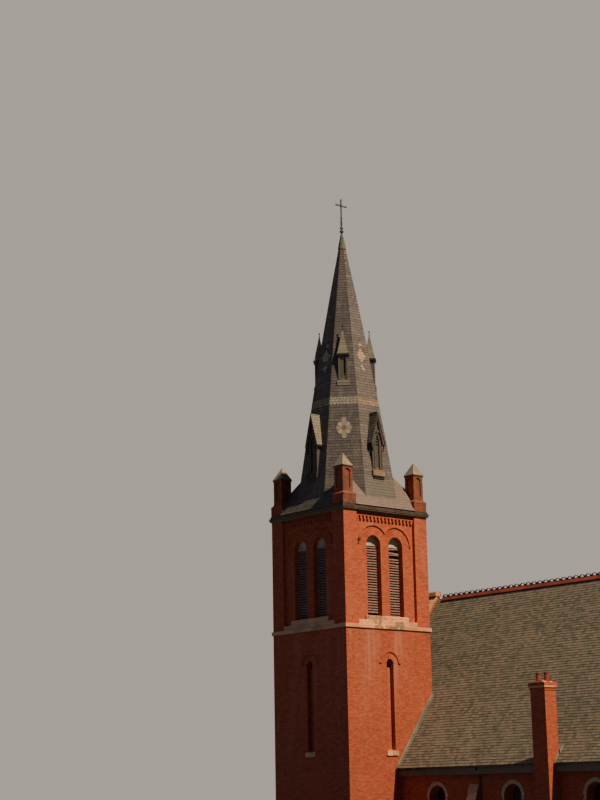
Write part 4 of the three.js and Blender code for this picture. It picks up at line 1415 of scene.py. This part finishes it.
def upperLucarnes():
    bodies, roofs = Form(), Form()
    u = upper
    half, slot, back, front, reach = u["half"], u["slotHalf"], -u["back"], -u["sillFront"], u["sillHalf"]
    bottom, sill, slotTop = u["sillBottom"], u["sillTop"], u["slotTop"]
    soffit, eaves, wide = u["soffit"], u["eaves"], u["eavesHalf"]
    apex, top, tip = u["apex"], u["top"], 0.02
    face = -u["axis"] - half
    sillOutline = [(back, bottom), (face, bottom), (front, bottom + 0.09)]
    sillOutline += [(front, sill - 0.03), (face - 0.02, sill + 0.006), (back, sill + 0.006)]
    eavesMould = [(half, soffit - 0.004), (wide - 0.02, soffit + 0.02), (wide, soffit + 0.06)]
    eavesMould += [(wide, eaves - 0.03), (u["roofHalf"] - 0.01, eaves + 0.006)]
    finial = [(0.04, apex - 0.06), (0.03, apex + 0.02), (0.02, apex + 0.04), (0.02, top - 0.12)]
    finial += [(0.05, top - 0.075), (0.045, top - 0.03), (0.001, top)]
    for k in range(4):
        bodies.place = roofs.place = facing(k - 0.5)
        for way, kind in ((-1, 0), (1, 3)):
            bodies.block(way * slot, way * half, face, back, sill, soffit, kind, 0.5)
            post = (way * (half - 0.05), way * (half + 0.012))
            bodies.block(*post, face - 0.016, face + 0.05, sill, soffit, kind, 0.8)
        bodies.block(-slot, slot, face, back, slotTop, soffit, 0, 0.5)
        # painted shade: dark boards at the back of the slot
        bodies.block(-slot, slot, face + 0.2, back, sill, slotTop, 2, 0.3)
        # a board still shuts most of the slot
        bodies.block(-slot, 0.03, face + 0.03, face + 0.055, sill, slotTop, 4, 0.5)
        bodies.slabX(sillOutline, -reach, reach, 1, 0.6)
        lip, foot = reach + 0.01, reach - 0.03
        bodies.block(-lip, lip, front - 0.01, front + 0.05, sill - 0.12, sill - 0.04, 1, 0.8)
        # painted shadow: a dark band under the sill
        bodies.block(-foot, foot, front + 0.05, back, bottom - 0.04, bottom + 0.05, 2, 0.8)
        # the roof: courses of pale slates, each a little proud of the one above
        for i in range(u["rows"]):
            z0, z1 = (eaves + (apex - eaves) * (i + t) / u["rows"] for t in (0, 1))
            half0, half1 = (tip + (u["roofHalf"] - tip) * (1 - (i + t) / u["rows"]) ** 1.1 for t in (0, 1))
            course = [(half0 - 0.006, z0 - 0.01), (half0 + 0.006, z0), (half1, z1)]
            roofs.lathe(course, 4, 0, -u["axis"], 0, square=True)
        roofs.lathe(eavesMould, 4, 0, -u["axis"], 1, 0.5, square=True)
        roofs.lathe(finial, 10, 0, -u["axis"], 2, 0.5)
    names = [f"upper_lucarne_{corner}" for corner in corners]
    kinds = ["grey_boards", "upper_slate", "dark_boards_and_shade", "brown_boards", "green_boards"]
    bodies.make("upper_lucarne_bodies", kinds, "patina", names, bevel=0.004)
    roofs.make("upper_lucarne_roofs", ["upper_slate", "dark_boards_and_shade", "iron"], "slate")


upperLucarnes()

print("spire top")

tipLow, tipHigh = local("spire_cap")
crossLow, crossHigh = local("cross_finial")


def spireTip():
    metal = Form()
    low, high, foot = tipLow.z, tipHigh.z, tipHigh.x
    for i in range(8):
        a = math.pi / 8 + i * math.pi / 4
        out, side = Vector((math.cos(a), math.sin(a), 0)), Vector((-math.sin(a), math.cos(a), 0))
        start = out * (foot / math.cos(math.pi / 8) - 0.002) + Vector((0, 0, low + 0.06))
        end = out * 0.043 + Vector((0, 0, high))
        layRoll(metal, start, end, side, out, 0.012, 0.008, 0.012, taper=0.6)
    for z in (low + 0.36, low + 0.7):
        half = foot + (0.04 - foot) * (z - low - 0.06) / (high - low - 0.06)
        seam = [(-0.01, 0), (0.008, 0), (0.006, 0.025), (-0.01, 0.03)]
        metal.lathe(moved(seam, half, z), 8, square=True)
    metal.make("spire_tip_seams", ["tip_metal"], "patina")


spireTip()

crossShape = {"ball": 0.1, "ballHeight": 36.305, "arms": 37.69, "reach": 0.36, "bead": 0.034}


def spoke(angle, z, inner, outer, innerHalf, outerHalf):  # the outline of a bar that leaves a centre
    c, s = math.cos(angle), math.sin(angle)
    ends = ((inner, innerHalf), (outer, outerHalf), (outer, -outerHalf), (inner, -innerHalf))
    return [(r * c - w * s, z + r * s + w * c) for r, w in ends]


def makeCross():
    cross = Form()
    base, top = crossLow.z, crossHigh.z
    ball, height, arms, reach, bead = (crossShape[k] for k in ("ball", "ballHeight", "arms", "reach", "bead"))
    collar = [(0.04, 0), (0.1, 0.015), (0.118, 0.05), (0.118, 0.11), (0.1, 0.15), (0.05, 0.185), (0.04, 0.2)]
    cross.lathe(moved(collar, 0, base), 16, tone=0.3)
    profile = [(0.001, -ball)]
    profile += [(ball * math.sin(t * math.pi / 10), -ball * math.cos(t * math.pi / 10)) for t in range(1, 10)]
    cross.lathe(moved(profile + [(0.001, ball)], 0, height), 18, slot=1, tone=0.7)
    stem = [(0.05, 36.39), (0.062, 36.42), (0.056, 36.45), (0.058, 36.62), (0.07, 36.66), (0.056, 36.7)]
    stem += [(0.05, 36.95), (0.06, 36.98), (0.046, 37.02), (0.034, 37.05)]
    cross.lathe(stem, 14, tone=0.4)
    cross.block(-0.03, 0.03, -0.03, 0.03, stem[-1][1] - 0.02, top - 0.05, 0, 0.4)
    cross.block(-0.028, 0.028, -reach, reach, arms - 0.03, arms + 0.03, 0, 0.4)
    for y, z in ((-reach - 0.01, arms), (reach + 0.01, arms), (0, top - 0.045)):
        for dy, dz in ((0, 0), (0.03, 0.028), (-0.03, 0.028), (0.03, -0.028), (-0.03, -0.028)):
            rings = []
            for t in range(7):
                r = max(bead * math.sin(math.pi * t / 6), 0.0008)
                level = min(z + dz - bead * math.cos(math.pi * t / 6), top)
                rings.append([(p, q, level) for p, q in circle(r, 8, 0, y + dy)])
            cross.loft(rings, 0, 0.4)
    for i in range(4):  # short struts in the corners of the cross
        cross.slabX(spoke(math.pi / 4 + i * math.pi / 2, arms, 0.02, 0.13, 0.012, 0.01), -0.01, 0.01, 0, 0.4)
    cross.make("cross", ["grey_iron", "tip_metal"], "iron", ["cross_finial"], bevel=0.003)


makeCross()

flower = {"centre": 23.77, "tall": 0.63, "wide": 0.44, "notch": 0.40, "eye": 0.14, "thick": 0.012}


def slateFlowers():
    form = Form()
    f = flower

    def lay(outline, lift, slot, tone):
        points = moved(outline, 0, f["centre"])
        offsets = (lift, lift - f["thick"])
        form.loft([[(u, -(spireHalf(z) + offset), z) for u, z in points] for offset in offsets], slot, tone)

    for k in range(4):
        form.place = facing(k - 0.5)
        for i in range(8):
            tip = f["tall"] if i % 4 == 2 else f["wide"]
            edge = [(21, f["eye"]), (20.8, f["notch"]), (12, tip * 0.96), (4, tip)]
            petal = []
            for turn, reach in [(-turn, reach) for turn, reach in edge] + edge[::-1]:
                a = math.radians(45 * i + turn)
                petal.append((reach * math.cos(a), reach * math.sin(a)))
            lay(petal, 0.030, 0, 0.3 + 0.5 * (i % 2))
        rim = circle(f["eye"] * 1.02, 16)
        lay(rim, 0.024, 1, 0.1)
        lay([(u * 0.22 - 0.02, z * 0.22) for u, z in rim], 0.034, 0, 0.8)
    form.make("slate_flowers", ["flower_slate", "plum_slate"], "slate", bevel=0.002)


slateFlowers()

print("flashings, gutters and chimney")


def onRoof(*points):  # heights over the slates at places across the roof
    return [(y, roofTop(y) + lift) for y, lift in points]


def leadwork():
    form = Form()
    east, south, eavesY = tower["half"], nave["south"], nave["eavesY"]
    y = south - 0.29
    while y < east - 0.01:
        a, b = y, min(y + 0.3 / roofLength, east)
        form.slabX(onRoof((a, -0.02), (b, -0.02), (b, 0.2), (a, 0.2)), east, east + 0.016)
        y = b
    rings = []
    for y in (south - 0.3, east):
        top, under = (Vector((0, y, roofTop(y))) + roofNormal * lift for lift in (0.034, 0.006))
        corners4 = ((east, top), (east + 0.16, top), (east + 0.16, under), (east, under))
        rings.append([(x, spot.y, spot.z) for x, spot in corners4])
    form.loft(rings, 0, 0.5)
    apron = moved([(0, -0.02), (0.02, 0.01), (0.02, 0.2), (0, 0.22)], east, roofTop(east))
    x = nave["west"]
    while x < east:
        b = min(x + 0.9, east)
        form.slabX(apron, x, b - 0.004)
        x = b
    # round the chimney
    c0, c1 = stackX
    for x0, x1 in ((c0 - 0.02, c0), (c1, c1 + 0.02)):
        form.slabX(onRoof((eavesY, 0), (south, 0), (south, 0.16), (eavesY, 0.16)), x0, x1)
    foot, (low, high) = roofTop(south), onRoof((south + 0.3, 0.03), (south + 0.3, 0.05))
    form.slabX([(south - 0.004, foot - 0.02), low, high, (south - 0.004, foot + 0.2)], c0 - 0.1, c1 + 0.1)
    form.make("flashings", ["lead"], "zinc", bevel=0.002)


leadwork()

piping = {"gutter": 0.075, "bore": 0.062, "pipe": 0.045, "shoe": 0.055, "clips": (0.6, 2.2, 3.8)}


def gutters():
    form = Form()
    p = piping
    half, east = tower["half"], nave["east"]
    southPipes, northPipes = [half + 5.9, east - 0.9], [half + 0.5, half + 11.3, east - 0.9]
    southRuns = [(half + 0.01, stackX[0] - 0.01), (stackX[1] + 0.01, east)]
    lines = [
        (nave["eavesY"], nave["south"], -1, southRuns, southPipes),
        (mirrored(nave["eavesY"]), mirrored(nave["south"]), 1, [(nave["west"], east)], northPipes),
    ]
    for y, face, way, runs, pipes in lines:
        z = roofTop(y) - 0.03
        middle = y + way * 0.06
        trough = arc(middle, z, p["gutter"], 8, math.pi, 2 * math.pi)
        trough += arc(middle, z, p["bore"], 8, 2 * math.pi, math.pi)
        bracket = moved([(-0.02, -0.02), (0.14, 0.005), (0.14, 0.02), (-0.02, 0.01)], y, z, way)
        for a, b in runs:
            form.slabX(trough, a, b, 0, 0.5)
            x = a + 0.5
            while x < b - 0.2:
                form.slabX(bracket, x, x + 0.03, 0, 0.3)
                x += 0.9
        bend = [(middle, z - 0.06), (y + way * 0.05, z - 0.16)]
        bend += [(face + way * 0.08, z - 0.52), (face + way * 0.075, z - 0.64)]
        for x in pipes:
            form.lathe([(p["pipe"], 0.12), (p["pipe"], z - 0.62)], 10, x, face + way * 0.075, 0, 0.4)
            form.loft([[(u, v, h) for u, v in circle(p["pipe"], 10, x, cy)] for cy, h in bend], 0, 0.4)
            for h in p["clips"]:
                form.block(x - 0.075, x + 0.075, face, face + way * 0.05, h, h + 0.05, 0, 0.4)
            form.lathe([(p["shoe"], 0.02), (p["shoe"], 0.14)], 10, x, face + way * 0.09, 0, 0.4)
    form.make("gutters_and_pipes", ["iron"], "iron")


gutters()


def chimneyTop():
    form = Form()
    (x0, x1), (y0, y1), top = stackX, stackY, chimneyHigh.z
    for reach, z in ((0.02, top - 0.39), (0.035, top - 0.315)):
        form.block(x0 - reach, x1 + reach, y0 - reach, y1 + reach * 0.5, z, z + 0.075)
    form.block(x0 - 0.075, x1 + 0.075, y0 - 0.075, y1 + 0.075, top - 0.245, top - 0.17, 1)
    middle = (x0 + x1) / 2
    pot = [(0.16, -0.03), (0.165, 0.03), (0.125, 0.08), (0.105, 0.42), (0.135, 0.45), (0.135, 0.5)]
    pot += [(0.1, 0.5), (0.085, 0.2)]
    for dx in (-0.27, 0.27):
        form.lathe(moved(pot, 0, top), 16, middle + dx, (y0 + y1) / 2, 2, 0.6)
    slope = moved([(-0.42, 0), (0.42, 0), (0.3, 0.07), (-0.3, 0.07)], middle, top)
    form.slabY(slope, y0 + 0.06, y1 - 0.06, 1)
    form.make("chimney_top", ["brick", "stone", "terracotta"], "brick", bevel=0.004)


chimneyTop()

print("nave windows and doors")

naveWindows = {"half": 0.6, "sill": 1.5, "spring": 3.5}
rearWindows = {"half": 0.65, "sill": 3.2, "spring": 6.6}
doorway = {"half": 1.15, "spring": 2.7, "outer": 1.4, "longRows": (1, 3, 5)}
roundWindow = {"z": 8.9, "radius": 1.25, "outer": 1.47, "hub": 0.3, "tracery": 0.045}


def quoins(form, half, low, high, step, wide, narrow, proud, longRows=range(1, 20, 2)):  # up both sides
    for way in (-1, 1):
        i, z = 0, low
        while z < high - 0.01:
            reach = half + (wide if i in longRows else narrow)
            form.block(way * half, way * reach, -proud, 0.02, z, min(z + step, high) - 0.006)
            z += step
            i += 1


def dressWindow(form, glass, place, half, sill, spring):
    form.place = glass.place = place
    form.archBlocks(0, spring, half, half + 0.2, -0.028, 0.02, 11)
    quoins(form, half, sill, spring, 0.3, 0.24, 0.14, 0.026)
    stone = [(-0.09, -0.18), (0.05, -0.18), (0.05, 0.004), (-0.02, 0.004), (-0.09, -0.035)]
    form.slabX(moved(stone, 0, sill), -half - 0.26, half + 0.26)
    back = 0.59  # of the bars, just in front of the glass
    z = sill + 0.45
    while z < spring + half * 0.7:
        reach = half if z < spring else math.sqrt(max(half * half - (z - spring) ** 2, 0))
        glass.block(-reach, reach, back - 0.02, back, z, z + 0.022, 0, 0.3)
        z += 0.45
    for u in (-half / 3, half / 3):
        glass.block(u - 0.01, u + 0.01, back - 0.014, back, sill, spring + half * 0.9, 0, 0.3)


def windowDressings():
    form, glass = Form(), Form()
    south, ridgeY = nave["south"], nave["ridgeY"]
    bays = [tower["half"] + 5.4 * (i + 0.5) for i in range(4)]
    places = [facing(0, x, south) for x in bays]
    places += [facing(2, x, mirrored(south)) for x in bays + [(nave["west"] + tower["half"]) / 2]]
    for place in places:
        dressWindow(form, glass, place, **naveWindows)
    for i in (-1, 0, 1):
        dressWindow(form, glass, facing(1, nave["outerEast"], ridgeY + i * 2.6), **rearWindows)
    form.place = facing(-1, nave["outerWest"], ridgeY)
    r, d, whole = roundWindow, doorway, (0, 2 * math.pi)
    form.archBlocks(0, r["z"], r["radius"], r["outer"], -0.03, 0.02, 28, *whole)
    form.archBlocks(0, d["spring"], d["half"], d["outer"], -0.03, 0.02, 15)
    quoins(form, d["half"], 0.0, d["spring"], 0.34, 0.25, 0.15, 0.028, d["longRows"])
    for i in range(8):
        bar = spoke(i * math.pi / 4, r["z"], r["hub"] + 0.04, r["radius"], r["tracery"], r["tracery"])
        form.slabY(bar, 0.2, 0.295)
    form.archBlocks(0, r["z"], r["hub"], r["hub"] + 0.12, 0.19, 0.295, 8, *whole, gap=0.0)
    form.archBlocks(0, r["z"], r["radius"] - 0.12, r["radius"] - 0.005, 0.19, 0.295, 16, *whole, gap=0.0)
    form.make("nave_dressings", ["stone"], "stone", bevel=0.006)
    glass.make("nave_window_bars", ["iron"], "iron")


windowDressings()

doors = {"half": 1.14, "spring": 2.7, "boards": 8, "straps": (0.45, 1.7, 2.75), "ringHeight": 1.15}


def doorBoards():
    form = Form()
    form.place = facing(-1, local("front_doors")[0].x, nave["ridgeY"])
    half, spring, boards = doors["half"], doors["spring"], doors["boards"]
    end = half * 0.97
    strap = [(end, -0.035), (0.35, -0.022), (0.24, 0), (0.35, 0.022), (end, 0.035)]
    ring = [(0.045, -0.03), (0.05, -0.045), (0.062, -0.045), (0.067, -0.03)]

    def crown(u):
        return spring + math.sqrt(max(half * half - u * u, 0.0004)) - 0.004

    for side in (-1, 1):
        for i in range(boards):
            inner, outer = (0.008 + (half - 0.01) * j / boards for j in (i, i + 1))
            u0, u1 = sorted((side * inner, side * (outer - 0.006)))
            form.slabY([(u0, 0.02), (u1, 0.02), (u1, crown(u1)), (u0, crown(u0))], -0.022, -0.001)
        for z in doors["straps"]:
            form.slabY(moved(strap, 0, z, side), -0.034, -0.02, 1, 0.3)
        form.archBand(side * 0.14, doors["ringHeight"], ring, 16, 0, 2 * math.pi * 0.999, 1, 0.3)
    form.make("door_boards", ["door_wood", "iron"], "door_wood", bevel=0.002)


doorBoards()

buttresses = {
    "south": (8.5, 19.3),
    "north": (8.5, 13.9, 19.3),
    "half": 0.335,
    "slope": [(0, 4.1), (-0.13, 3.7), (-0.26, 3.3), (-0.52, 3.0)],  # where the stones meet, from the wall out
}


def buttressCaps():
    form = Form()
    b = buttresses
    places = [facing(0, x, nave["south"]) for x in b["south"]]
    places += [facing(2, x, mirrored(nave["south"])) for x in b["north"]]
    for place in places:
        form.place = place
        for (ya, za), (yb, zb) in zip(b["slope"], b["slope"][1:]):
            lip = yb - 0.03
            stone = [(ya, za + 0.02), (ya, za - 0.03), (yb, zb - 0.03), (lip, zb - 0.03), (lip, zb + 0.03)]
            form.slabX(stone, -b["half"], b["half"])
    form.make("buttress_weatherings", ["stone"], "stone", bevel=0.008)


buttressCaps()

print("floor")


def makeFloor():
    f = Finish("studio_floor", Roughness=0.9)
    f.wear(f.ramp(f.noise(0.05, 2), [(0.3, light["floor"]), (0.7, tuple(c * 1.04 for c in light["floor"]))]))
    mesh = bpy.data.meshes.new("studio_floor")
    r = 240
    mesh.from_pydata([(-r, -r, 0), (r, -r, 0), (r, r, 0), (-r, r, 0)], [], [(0, 1, 2, 3)])
    mesh.materials.append(f.material)
    floor = bpy.data.objects.new("studio_floor", mesh)
    floor.location.z = -0.002
    floor.visible_diffuse = False  # its glow would wash out the shaded walls
    scene.collection.objects.link(floor)


makeFloor()
